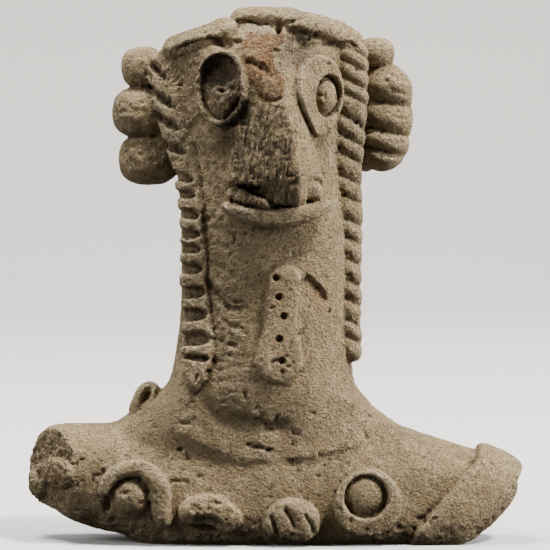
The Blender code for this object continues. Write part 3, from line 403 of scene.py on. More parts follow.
def curve_through(keys, values, at):
    """Values at the places `at` on a smooth curve through the given ones, with no overshoot between them."""
    keys = np.asarray(keys, float)
    values = np.asarray(values, float).reshape(len(keys), -1)
    steps = np.diff(keys)[:, None]
    rises = np.diff(values, axis=0) / steps
    slopes = np.empty_like(values)
    slopes[0], slopes[-1] = rises[0], rises[-1]
    product = rises[:-1] * rises[1:]
    total = rises[:-1] + rises[1:]
    safe_total = np.where(np.abs(total) < 1e-12, 1.0, total)
    slopes[1:-1] = np.where(product > 0, 2 * product / safe_total, 0.0)
    at = np.clip(np.asarray(at, float), keys[0], keys[-1])
    index = np.clip(np.searchsorted(keys, at, side="right") - 1, 0, len(keys) - 2)
    step = steps[index]
    t = ((at - keys[index])[:, None]) / step
    start, end = values[index], values[index + 1]
    return (
        start * (1 + 2 * t) * (1 - t) ** 2
        + end * t**2 * (3 - 2 * t)
        + slopes[index] * step * t * (1 - t) ** 2
        - slopes[index + 1] * step * t**2 * (1 - t)
    )


def spread_along(values, share):
    """Evenly spaced values read at these shares, 0 to 1, of a strip's length."""
    if len(values) == 1:
        return np.full(len(share), float(values[0]))
    return curve_through(np.linspace(0, 1, len(values)), values, share)[:, 0]


def oval(count, fullness):
    """Across and along coordinates of a superellipse of half sizes 1."""
    angle = 2 * math.pi * np.arange(count) / count
    across, along = np.cos(angle), np.sin(angle)
    return (
        np.copysign(np.abs(across) ** (2 / fullness), across),
        np.copysign(np.abs(along) ** (2 / fullness), along),
    )


def fade(value, low, high):
    """0 at low and below, 1 at high and above, smooth between."""
    t = np.clip((value - low) / (high - low), 0.0, 1.0)
    return t * t * (3 - 2 * t)


def clay_object(name, rings):
    """A closed skin over rings of equal count, as a new object."""
    rings = np.asarray(rings, float)
    levels, around = rings.shape[:2]
    here = np.arange(levels * around).reshape(levels, around)
    after = np.roll(here, -1, axis=1)
    quads = np.stack([here[:-1], after[:-1], after[1:], here[1:]], axis=-1).reshape(-1, 4)
    faces = quads.tolist() + [here[0][::-1].tolist(), here[-1].tolist()]
    mesh = bpy.data.meshes.new(name)
    mesh.from_pydata(rings.reshape(-1, 3).tolist(), [], faces)
    clay = bmesh.new()
    clay.from_mesh(mesh)
    bmesh.ops.recalc_face_normals(clay, faces=clay.faces)
    clay.to_mesh(mesh)
    clay.free()
    obj = bpy.data.objects.new(name, mesh)
    bpy.context.scene.collection.objects.link(obj)
    return obj


def make_active(obj):
    deselect_all()
    obj.select_set(True)
    bpy.context.view_layer.objects.active = obj


def join(name, objects):
    make_active(objects[0])
    for obj in objects[1:]:
        obj.select_set(True)
    if len(objects) > 1:
        bpy.ops.object.join()
    joined = bpy.context.view_layer.objects.active
    joined.name = name
    return joined


def apply_modifier(obj, kind, **settings):
    make_active(obj)
    modifier = obj.modifiers.new(kind.lower(), kind)
    for key, value in settings.items():
        setattr(modifier, key, value)
    bpy.ops.object.modifier_apply(modifier=modifier.name)


def fuse(obj, grain, smoothing):
    apply_modifier(obj, "REMESH", mode="VOXEL", voxel_size=grain)
    apply_modifier(obj, "SMOOTH", factor=0.5, iterations=smoothing)


def keep_one_skin(mesh):
    """Merges doubled points and takes out fins and loose crumbs, so that one closed skin is left."""
    clay = bmesh.new()
    clay.from_mesh(mesh)
    bmesh.ops.remove_doubles(clay, verts=clay.verts, dist=0.0001 * MM)
    bmesh.ops.triangulate(clay, faces=clay.faces)
    alike = Counter(frozenset(face.verts) for face in clay.faces)
    fins = [
        face for face in clay.faces
        if alike[frozenset(face.verts)] > 1 or any(edge.is_boundary for edge in face.edges)
    ]
    bmesh.ops.delete(clay, geom=fins, context="FACES")
    waiting, skins = set(clay.faces), []
    while waiting:
        reached = [waiting.pop()]
        for face in reached:
            for edge in face.edges:
                for other in edge.link_faces:
                    if other in waiting:
                        waiting.remove(other)
                        reached.append(other)
        skins.append(reached)
    skins.sort(key=len)
    for crumb in skins[:-1]:
        bmesh.ops.delete(clay, geom=crumb, context="FACES")
    clay.to_mesh(mesh)
    clay.free()
    mesh.update()


def pieces_named(prefix):
    return [obj for obj in bpy.context.scene.objects if obj.name.startswith(prefix)]


class Surface:
    """The clay core, for seating what is pressed on it."""

    def __init__(self, obj=None):
        clay = bmesh.new()
        clay.from_mesh((obj or bpy.data.objects["clay_core"]).data)
        self.tree = BVHTree.FromBMesh(clay)
        clay.free()

    def nearest(self, point):
        place, normal, _, _ = self.tree.find_nearest(Vector(point))
        return place, normal

    def from_front(self, x, z):
        """Place and normal where a straight look along +Y meets the clay, for a place in millimetres."""
        place, normal, _, _ = self.tree.ray_cast(Vector((x * MM, -0.2, z * MM)), Vector((0, 1, 0)))
        if place is None:
            return self.nearest((x * MM, -0.02, z * MM))
        return place, normal

    def lay(self, path):
        """A path given across and up, laid on the front of the clay."""
        return [self.from_front(x, z)[0] for x, z in path]

    def drape(self, obj, seat):
        """Lays a piece modelled flat over the clay at a seat, following the rise and fall under it."""
        outward = seat.to_3x3() @ Vector((0, 0, 1))
        inverse = seat.inverted()
        for vertex in obj.data.vertices:
            over = seat @ Vector((vertex.co.x, vertex.co.y, DRAPE_FROM))
            place, _, _, _ = self.tree.ray_cast(over, -outward)
            rise = (inverse @ place).z if place else 0.0
            vertex.co = seat @ (vertex.co + Vector((0, 0, max(rise, DRAPE_LOWEST))))

    def seat(self, x, z):
        """A matrix at the surface, its Z outwards and its Y as near up as it can be."""
        place, normal = self.from_front(x, z)
        up = (Vector((0, 0, 1)) - normal * normal.z).normalized()
        across = up.cross(normal).normalized()
        turn = Matrix((across, up, normal)).transposed().to_4x4()
        return Matrix.Translation(place) @ turn


def scaled(path):
    return [Vector(p) * MM for p in path]


def path_lengths(path):
    path = np.array([tuple(p) for p in path])
    return path, np.concatenate([[0.0], np.cumsum(np.linalg.norm(np.diff(path, axis=0), axis=1))])


def cuts_at(path, heights, half_lengths, share):
    """Cuts where a falling path passes these heights: each a place along it, a half length, a depth share."""
    path, lengths = path_lengths(path)
    half_lengths = np.broadcast_to(half_lengths, len(heights)) * MM
    places = np.interp(-np.array(heights) * MM, -path[:, 2], lengths)
    return [(place, half, share) for place, half in zip(places, half_lengths)]


def strip(
    name, surface, path, half_widths, height, fullness=2.4, cuts=(), cut_ends=None, rolled=0.0, slants=(0.0,),
    facing=None, lean=0.0, round_ends=1.0, sink=1.6 * MM, raised=0.3, reverse=False, around=44,
):
    """A strip of clay laid along a path on the surface, with half widths in millimetres spread along it.

    Cuts are pressed from its outer edge, the left one when seen going down the path or the right one with
    reverse, and end in a round at cut_ends of the half width. With rolled they are the creases of a row of
    rolls. The strip's widest part is raised off the surface by a share of its height, which undercuts its
    edges.
    """
    path, lengths = path_lengths(path)
    total = lengths[-1]
    count = max(16, int(total / STEP))
    along = np.linspace(0, total, count)
    points = [Vector(p) for p in curve_through(lengths, path, along)]
    normals = [Vector(facing or FRONT)] * count
    if facing is None:
        seats = [surface.nearest(p) for p in points]
        points = [place for place, _ in seats]
        normals = [normal.lerp(FRONT, lean) for _, normal in seats]
    window = int(2.2 * MM / STEP)
    kernel = np.ones(2 * window + 1) / (2 * window + 1)
    padded = np.pad(np.array(normals), ((window, window), (0, 0)), mode="edge")
    normals = np.stack([np.convolve(padded[:, k], kernel, mode="valid") for k in range(3)], axis=1)
    padded = np.pad(np.array(points), ((4, 4), (0, 0)), mode="reflect", reflect_type="odd")
    points = np.stack([np.convolve(padded[:, k], np.ones(9) / 9, mode="valid") for k in range(3)], axis=1)
    tangents = np.gradient(points, axis=0)
    side = -1.0 if reverse else 1.0
    across = np.cross(normals, tangents) * side
    across /= np.linalg.norm(across, axis=1, keepdims=True)
    normals = np.cross(tangents, across) * side
    normals /= np.linalg.norm(normals, axis=1, keepdims=True)
    share = along / total
    spread = spread_along(half_widths, share) * MM
    slant = spread_along(slants, share)
    end_round = np.ones(count)
    if round_ends > 0:
        gap = np.minimum(along, total - along) / (round_ends * spread)
        end_round = np.sqrt(np.clip(1 - (1 - np.minimum(1, gap)) ** 2, 0.02, 1))
    a, h = oval(around, fullness)
    shift = along[:, None] + slant[:, None] * a[None] * spread[:, None]
    depth = np.zeros((count, around))
    if rolled:
        creases = np.array([0.0] + [place for place, _, _ in cuts] + [total])
        index = np.clip(np.searchsorted(creases, shift), 1, len(creases) - 1)
        t = np.clip((shift - creases[index - 1]) / (creases[index] - creases[index - 1]), 0, 1)
        depth = rolled * (1 - np.sqrt(1 - 0.97 * (2 * t - 1) ** 2))
    else:
        inner = np.zeros((count, around))
        if cut_ends is not None:
            inner = np.clip((a[None] - spread_along(cut_ends, share)[:, None] + 0.6) / 0.6, 0, None)
        for place, half_length, cut_share in cuts:
            t = (shift - place) / half_length
            pressed = np.clip(1.5 * np.sqrt(np.clip(1 - t**2 - inner**2, 0, None)), 0, 1)
            depth = np.maximum(depth, cut_share * pressed)
    reach = a[None] * end_round[:, None] * (1 - 0.2 * depth * ((a[None] < 0) | (rolled > 0)))
    above = height * (1 - raised) * end_round[:, None] * (1 - depth)
    lift = np.where(h[None] > 0, above, sink + raised * height) * h[None] + raised * height
    rings = (
        points[:, None]
        + across[:, None] * (reach * spread[:, None])[..., None]
        + normals[:, None] * lift[..., None]
    )
    return clay_object(name, rings)


def lump(name, centre, radii, turn=0.0, swing=0.0, squareness=0.25):
    """A full oval lump: a sphere pushed towards its box, at a place and size in millimetres.

    It is turned about the depth axis and then swung about the upright one, in radians.
    """
    deselect_all()
    bpy.ops.mesh.primitive_uv_sphere_add(segments=64, ring_count=40, radius=1.0)
    obj = bpy.context.active_object
    obj.name = name
    place = Matrix.Translation(Vector(centre) * MM) @ Matrix.Rotation(swing, 4, "Z")
    place = place @ Matrix.Rotation(turn, 4, "Y") @ Matrix.Diagonal((*[r * MM for r in radii], 1.0))
    for vertex in obj.data.vertices:
        fuller = Vector(math.copysign(abs(c) ** (1 - squareness), c) for c in vertex.co)
        vertex.co = place @ vertex.co.lerp(fuller, 0.8)
    return obj


def holed_disc(
    name, surface, seat, radii, thickness, hole_share, hole_depth, hole_shift=(0.0, 0.0), sink=2.0 * MM,
    point=0.0,
):
    """A disc pressed on at a seat, its top inset and pushed in to a hole off its centre.

    Its foot is drawn to a point by the share that point gives.
    """
    deselect_all()
    bpy.ops.mesh.primitive_cylinder_add(vertices=72, radius=radii[0], depth=thickness + sink)
    obj = bpy.context.active_object
    obj.name = name
    bpy.ops.object.mode_set(mode="EDIT")
    bpy.ops.mesh.select_all(action="DESELECT")
    bpy.ops.object.mode_set(mode="OBJECT")
    top = max(obj.data.polygons, key=lambda face: face.center.z)
    top.select = True
    bpy.ops.object.mode_set(mode="EDIT")
    bpy.ops.mesh.select_mode(type="FACE")
    bpy.ops.mesh.inset(thickness=radii[0] * (1 - hole_share))
    bpy.ops.transform.translate(value=(hole_shift[0], hole_shift[1] * radii[0] / radii[1], 0))
    bpy.ops.mesh.extrude_region_move(TRANSFORM_OT_translate={"value": (0, 0, -hole_depth)})
    bpy.ops.object.mode_set(mode="OBJECT")
    apply_modifier(obj, "BEVEL", width=thickness * 0.24, segments=4, limit_method="ANGLE")
    for vertex in obj.data.vertices:
        foot = max(0.0, math.hypot(vertex.co.x, vertex.co.y) / radii[0] - hole_share) / (1 - hole_share)
        lowness = max(0.0, -vertex.co.y / radii[0])
        vertex.co.x *= 1 - point * foot * lowness
        vertex.co.y *= 1 + 0.2 * point * foot * lowness**6
    stretch = Matrix.Diagonal((1.0, radii[1] / radii[0], 1.0, 1.0))
    obj.data.transform(Matrix.Translation((0, 0, (thickness - sink) / 2)) @ stretch)
    surface.drape(obj, seat)
    return obj


def pellet(name, surface, seat, radii, height, shift=(0.0, 0.0)):
    """A low round pellet at a seat, off its centre by shift."""
    deselect_all()
    bpy.ops.mesh.primitive_uv_sphere_add(segments=48, ring_count=32, radius=1.0)
    obj = bpy.context.active_object
    obj.name = name
    for vertex in obj.data.vertices:
        vertex.co.z = math.copysign(abs(vertex.co.z) ** 0.8, vertex.co.z)
    obj.data.transform(Matrix.Translation((shift[0], shift[1], 0)) @ Matrix.Diagonal((*radii, height, 1.0)))
    surface.drape(obj, seat)
    return obj


def column_rings(levels=150, around=120):
    table = np.array(COLUMN_LEVELS)
    heights = np.linspace(table[0, 0], table[-1, 0], levels)
    rings = []
    back_a, back_h = oval(around, COLUMN_BACK_FULLNESS)
    for height, row in zip(heights, curve_through(table[:, 0], table[:, 1:], heights)):
        middle, half_width, front, back, fullness = row
        a, h = oval(around, fullness)
        behind = h > 0
        x = middle + half_width * np.where(behind, back_a, a)
        y = np.where(behind, back * back_h, front * h)
        rings.append(np.stack([x, y, np.full(around, height)], axis=1) * MM)
    return rings


def shoulder_rings(stations=180, around=72):
    table = np.array(SHOULDER_STATIONS)
    places = np.linspace(table[0, 0], table[-1, 0], stations)
    along, up = oval(around, SHOULDER_FULLNESS)
    rings = []
    for place, row in zip(places, curve_through(table[:, 0], table[:, 1:], places)):
        underside, top, front, back = row * MM
        y = along * np.where(along > 0, back, front)
        z = (top + underside) / 2 + (top - underside) / 2 * up
        x = np.maximum(place * MM, STUMP_BREAK_X - (y - STUMP_BREAK_Y) * STUMP_BREAK_SLANT)
        chip = BASE_CHIP_HEIGHT * (1 - (y + front) / BASE_CHIP_DEPTH)
        rings.append(np.stack([x, y, np.where(y + front < BASE_CHIP_DEPTH, np.maximum(z, chip), z)], axis=1))
    return rings


def nose_rings():
    table = np.array(NOSE_LEVELS)
    heights = np.linspace(table[0, 0], table[-1, 0], 60)
    rings = []
    for height, row in zip(heights, curve_through(-table[:, 0], table[:, 1:], -heights)):
        left_foot, flank, ridge_left, ridge_right, right_foot, flank_reach, ridge_reach = row * MM
        z = height * MM
        rings.append(
            [
                (left_foot, -NOSE_FOOT_REACH * 0.3, z),
                (left_foot, -NOSE_FOOT_REACH, z),
                (flank, -flank_reach + NOSE_TURN * 0.4, z),
                (ridge_left, -ridge_reach + NOSE_TURN, z),
                (ridge_right, -ridge_reach, z),
                (right_foot, -(NOSE_FOOT_REACH + ridge_reach) / 2 - NOSE_UNDERCUT, z),
                (right_foot + NOSE_UNDERCUT, -NOSE_FOOT_REACH, z),
                (right_foot, -NOSE_FOOT_REACH * 0.3, z),
            ]
        )
    return rings


class BUST_OT_core(bpy.types.Operator):
    """Lays up the column, the shoulder roll and the pinched nose, and blends them"""

    bl_idname = "bust.core"
    bl_label = "Clay core"

    def execute(self, context):
        skins = (column_rings(), shoulder_rings(), nose_rings())
        core = join("clay_core", [clay_object("clay_core", rings) for rings in skins])
        fuse(core, sizes().core_grain, 9)
        return {"FINISHED"}


class BUST_OT_face(bpy.types.Operator):
    """Presses on the eye discs with their pellets, and the lips"""

    bl_idname = "bust.face"
    bl_label = "Eyes and lips"

    def execute(self, context):
        surface = Surface()
        thickness = sizes().eye_thickness
        left, right = surface.seat(*LEFT_EYE), surface.seat(*RIGHT_EYE)
        radii = [r * MM for r in LEFT_EYE_RADII]
        holed_disc("clay_eye", surface, left, radii, thickness, 0.87, thickness)
        pellet("clay_eye_pellet", surface, left, (4.2 * MM, 4.0 * MM), 1.8 * MM, (0.2 * MM, -3.4 * MM))
        radii = [r * MM for r in RIGHT_EYE_RADII]
        shift = (2.5 * MM, -0.3 * MM)
        holed_disc("clay_eye", surface, right, radii, thickness, 0.55, thickness, shift, point=0.2)
        pellet("clay_eye_pellet", surface, right, (3.1 * MM, 4.1 * MM), 2.1 * MM, (2.8 * MM, -0.3 * MM))
        strip(
            "clay_lip", surface, surface.lay(LOWER_LIP_PATH), LOWER_LIP_HALF_HEIGHTS, sizes().lip_reach,
            fullness=3.0,
        )
        upper = scaled(UPPER_LIP_PATH)
        strip("clay_lip_upper", surface, upper, (1.3, 1.5, 1.3, 1.0), 1.6 * MM, facing=FRONT, sink=4 * MM)
        place, _ = surface.from_front(*LIP_PELLET)
        lump("clay_lip_pellet", (place + FRONT * 2.8 * MM) / MM, (2.35, 1.6, 2.1), squareness=0.3)
        return {"FINISHED"}


class BUST_OT_hair(bpy.types.Operator):
    """Lays the notched tresses, the buns and the bands over the brow"""

    bl_idname = "bust.hair"
    bl_label = "Hair"

    def execute(self, context):
        surface = Surface()
        height = sizes().tress_height
        left = scaled(LEFT_TRESS_PATH)
        strip(
            "clay_tress_left", surface, left, LEFT_TRESS_HALF_WIDTHS, height, fullness=2.8, round_ends=1.6,
            slants=LEFT_TRESS_SLANTS, cuts=cuts_at(left, LEFT_TRESS_NOTCHES, LEFT_TRESS_NOTCH_SIZES, 0.85),
            cut_ends=LEFT_TRESS_CUT_ENDS, lean=0.72, sink=3.4 * MM,
        )
        right = scaled(RIGHT_TRESS_PATH)
        strip(
            "clay_tress_right", surface, right, RIGHT_TRESS_HALF_WIDTHS, height, reverse=True, slants=(0.5,),
            cuts=cuts_at(right, RIGHT_TRESS_NOTCHES, 1.0, 1.0), rolled=0.6, lean=0.72, sink=3.4 * MM,
        )
        for centre, radii in (*LEFT_BUNS, RIGHT_TOP_BUN, *HAIR_MASSES):
            lump("clay_bun", centre, radii)
        bun = scaled(RIGHT_BUN_PATH)
        strip(
            "clay_bun_right", surface, bun, RIGHT_BUN_HALF_WIDTHS, 7.2 * MM, facing=FRONT, sink=7.2 * MM,
            raised=0.0, rolled=0.5, cuts=cuts_at(bun, RIGHT_BUN_GROOVES, 1.0, 1.0), slants=(-0.12,),
        )
        strip("clay_band_left", surface, scaled(LEFT_BAND_PATH), (2.6, 3.3, 3.5, 3.2), 3.2 * MM)
        strip("clay_band_crown", surface, scaled(CROWN_BAND_PATH), (3.3,), 2.6 * MM)
        band = scaled(RIGHT_BAND_PATH)
        length = path_lengths(band)[1][-1]
        scores = [(length * (k + 1.6) / 10, 0.4 * MM, 0.2) for k in range(8)]
        strip("clay_band_right", surface, band, (3.0, 3.6, 3.5, 2.6), 3.0 * MM, cuts=scores, slants=(-0.6,))
        return {"FINISHED"}


class BUST_OT_chest(bpy.types.Operator):
    """Presses on the throat strip, the chest discs and lumps, the shoulder stub and the arm strap"""

    bl_idname = "bust.chest"
    bl_label = "Throat and chest"

    def execute(self, context):
        surface = Surface()
        throat = surface.lay([(x, z) for z, x, _ in THROAT_STRIP])
        strip(
            "clay_throat", surface, throat, [half for _, _, half in THROAT_STRIP], sizes().strip_height,
            fullness=3.6,
        )
        seat = surface.seat(*RIGHT_DISC)
        radius, height = sizes().disc_radius, sizes().disc_height
        shift = (-0.6 * MM, 1.7 * MM)
        holed_disc("clay_disc", surface, seat, (radius, radius), height, 0.66, 2.0 * MM, shift)
        pellet("clay_disc_pellet", surface, seat, (4.8 * MM, 4.8 * MM), height * 0.95, (-0.6 * MM, 2.1 * MM))
        pellet("clay_left_pellet", surface, surface.seat(*LEFT_PELLET), (4.3 * MM, 4.3 * MM), 3.0 * MM)
        hood, ridge, fingers = (surface.lay(path) for path in (HOOD_PATH, RIDGE_LUMP_PATH, FINGER_LUMP_PATH))
        strip("clay_hood", surface, hood, HOOD_HALF_WIDTHS, 2.7 * MM, fullness=2.8, round_ends=0.8)
        strip("clay_ridge", surface, ridge, (3.0, 3.8, 3.2), 2.8 * MM)
        strip("clay_fingers", surface, fingers, FINGER_LUMP_HALF_WIDTHS, 3.6 * MM, fullness=2.6)
        lump("clay_stub", *SHOULDER_STUB, turn=SHOULDER_STUB_TURN)
        along_break = -math.atan2(1.0, STUMP_BREAK_SLANT)
        for centre, radii in STUMP_LUMPS:
            lump("clay_stump", centre, radii, swing=along_break, squareness=0.1)
        strip(
            "clay_strap", surface, scaled(STRAP_PATH), (6.0,), sizes().strap_height, fullness=3.0,
            round_ends=0.0, sink=7 * MM, raised=0.0,
        )
        return {"FINISHED"}


class BUST_OT_fuse(bpy.types.Operator):
    """Fuses the core and all that is pressed on it into one skin"""

    bl_idname = "bust.fuse"
    bl_label = "Fuse the clay"

    def execute(self, context):
        bust = join("terracotta_bust", pieces_named("clay_"))
        bust.data.materials.clear()
        fuse(bust, sizes().skin_grain, 1)
        return {"FINISHED"}


def grain(points, size, seed):
    """Smooth noise between -1 and 1, in features about this size, at each point."""
    p = points / size + seed * 17.31
    cell = np.floor(p).astype(np.int64)
    f = p - cell
    f = f * f * (3 - 2 * f)
    total = np.zeros(len(points))
    for corner in np.ndindex(2, 2, 2):
        c = (cell + np.array(corner)).astype(np.uint64)
        h = c[:, 0] * np.uint64(73856093) ^ c[:, 1] * np.uint64(19349663) ^ c[:, 2] * np.uint64(83492791)
        h = (h ^ (h >> np.uint64(13))) * np.uint64(1274126177)
        value = ((h ^ (h >> np.uint64(16))) & np.uint64(0xFFFF)).astype(float) / 32767.5 - 1
        weight = np.prod(np.where(np.array(corner), f, 1 - f), axis=1)
        total += weight * value
    return total


def layered(points, size, seed, layers=3):
    """Noise summed over halving sizes."""
    return sum(grain(points, size / 2**k, seed + k) / 2**k for k in range(layers)) / 1.6


def distance_to_path(across, up, path):
    """Distance in the front view from each place to a line of points, and where the place lies beside it.

    That is the share of the way along the line, and whether the place is on its left.
    """
    best = np.full(len(across), 1e9)
    share = np.zeros(len(across))
    left = np.zeros(len(across), bool)
    for k, ((x0, z0), (x1, z1)) in enumerate(zip(path, path[1:])):
        dx, dz = x1 - x0, z1 - z0
        t = np.clip(((across - x0) * dx + (up - z0) * dz) / (dx * dx + dz * dz), 0, 1)
        d = np.hypot(across - x0 - t * dx, up - z0 - t * dz)
        nearer = d < best
        share = np.where(nearer, (k + t) / (len(path) - 1), share)
        left = np.where(nearer, dx * (up - z0) - dz * (across - x0) > 0, left)
        best = np.minimum(best, d)
    return best, share, left


def spot(x, z, across, up, half_width, half_height, firmness):
    """1 in the middle of an oval seen from the front, fading to 0 past its edge."""
    return np.exp(-(((x - across) / half_width) ** 2 + ((z - up) / half_height) ** 2) ** firmness)


def between(across, up, left, right, soft=0.8):
    """1 between two edges, each a falling line of (height, place across), fading over soft millimetres."""
    left, right = np.array(left)[::-1], np.array(right)[::-1]
    low = np.interp(up, left[:, 0], left[:, 1])
    high = np.interp(up, right[:, 0], right[:, 1])
    inside = fade(across - low, -soft, soft) * fade(high - across, -soft, soft)
    return inside * fade(up - left[0, 0], -soft, soft) * fade(left[-1, 0] - up, -soft, soft)


class ClaySkin:
    """The fused mesh's places and normals in millimetres, for shaping it point by point."""

    def __init__(self, mesh):
        self.mesh = mesh
        self.read()
        edges = np.empty(len(mesh.edges) * 2, np.int32)
        mesh.edges.foreach_get("vertices", edges)
        self.edges = edges.reshape(-1, 2)
        self.links = np.bincount(self.edges.ravel(), minlength=len(self.co)).clip(1)

    def read(self):
        flat = np.empty(len(self.mesh.vertices) * 3)
        self.mesh.vertices.foreach_get("co", flat)
        self.co = flat.reshape(-1, 3) / MM
        self.mesh.vertex_normals.foreach_get("vector", flat)
        self.normal = flat.reshape(-1, 3)

    def write(self):
        self.mesh.vertices.foreach_set("co", (self.co * MM).ravel())
        self.mesh.update()
        self.read()

    def push(self, amount):
        """Moves each place along its normal, in millimetres."""
        self.co = self.co + self.normal * amount[:, None]

    def smoothed(self, values, passes):
        """Values averaged with their neighbours'."""
        first, second = self.edges[:, 0], self.edges[:, 1]
        count = len(self.co)
        for _ in range(passes):
            total = np.bincount(first, values[second], count) + np.bincount(second, values[first], count)
            values = 0.5 * values + 0.5 * total / self.links
        return values

    def hollow(self, passes):
        """How far the skin lies below its own smoothed form, in millimetres: above 0 in corners and pits."""
        away = np.stack([self.smoothed(self.co[:, k], passes) for k in range(3)], axis=1) - self.co
        return (away * self.normal).sum(axis=1)

    def paint(self, name, values):
        attribute = self.mesh.attributes.new(name, "FLOAT", "POINT")
        attribute.data.foreach_set("value", np.clip(values, 0, 1).astype(np.float32))


def nose_front(skin):
    x, y, z = skin.co.T
    wobble = layered(skin.co, 2.0, 4)
    left = ((109.0, -4.4), (102.0, -8.0), (96.0, -10.4), (84.4, -11.4))
    right = ((112.0, 2.2), (100.0, 4.8), (92.0, 6.4), (84.0, 7.0))
    facing = fade(-skin.normal[:, 1], -0.2, 0.1)
    return between(x + wobble, z + wobble, left, right) * facing * fade(-y, 14, 18)


def brow_break(skin):
    x, _, z = skin.co.T
    wobble = layered(skin.co, 3.0, 5)
    left = ((126.4, -7.0), (122.0, -8.6), (118.6, -8.2), (116.4, -6.2), (113.0, -4.8), (109.6, -3.4))
    right = (
        (126.4, 2.2), (124.0, 2.6), (122.6, 0.2), (119.5, -0.8), (117.0, 0.2), (115.0, 2.6), (111.4, 2.6),
        (109.6, 0.8),
    )
    return between(x + wobble * 1.2, z + wobble, left, right, 0.5) * fade(-skin.normal[:, 1], 0.1, 0.4)


def rough_places(skin):
    x, _, z = skin.co.T
    wobble = layered(skin.co, 3.0, 7)
    front = fade(-skin.normal[:, 1], -0.1, 0.2)
    total = np.zeros(len(x))
    for across, up, half_width, half_height, amount in ROUGH:
        d = np.hypot((x - across) / half_width, (z - up) / half_height) + 0.35 * wobble
        total = np.maximum(total, amount * fade(1.25 - d, 0.0, 0.6))
    return total * front


def stump_break(skin):
    x, y, _ = skin.co.T
    facing = skin.normal @ np.array([-0.865, -0.5, 0.0])
    return fade(facing, 0.55, 0.85) * fade(-x, 44, 48)


def underside_break(skin):
    return fade(-skin.normal[:, 2], 0.15, 0.6) * fade(8 - skin.co[:, 2], 0, 4)


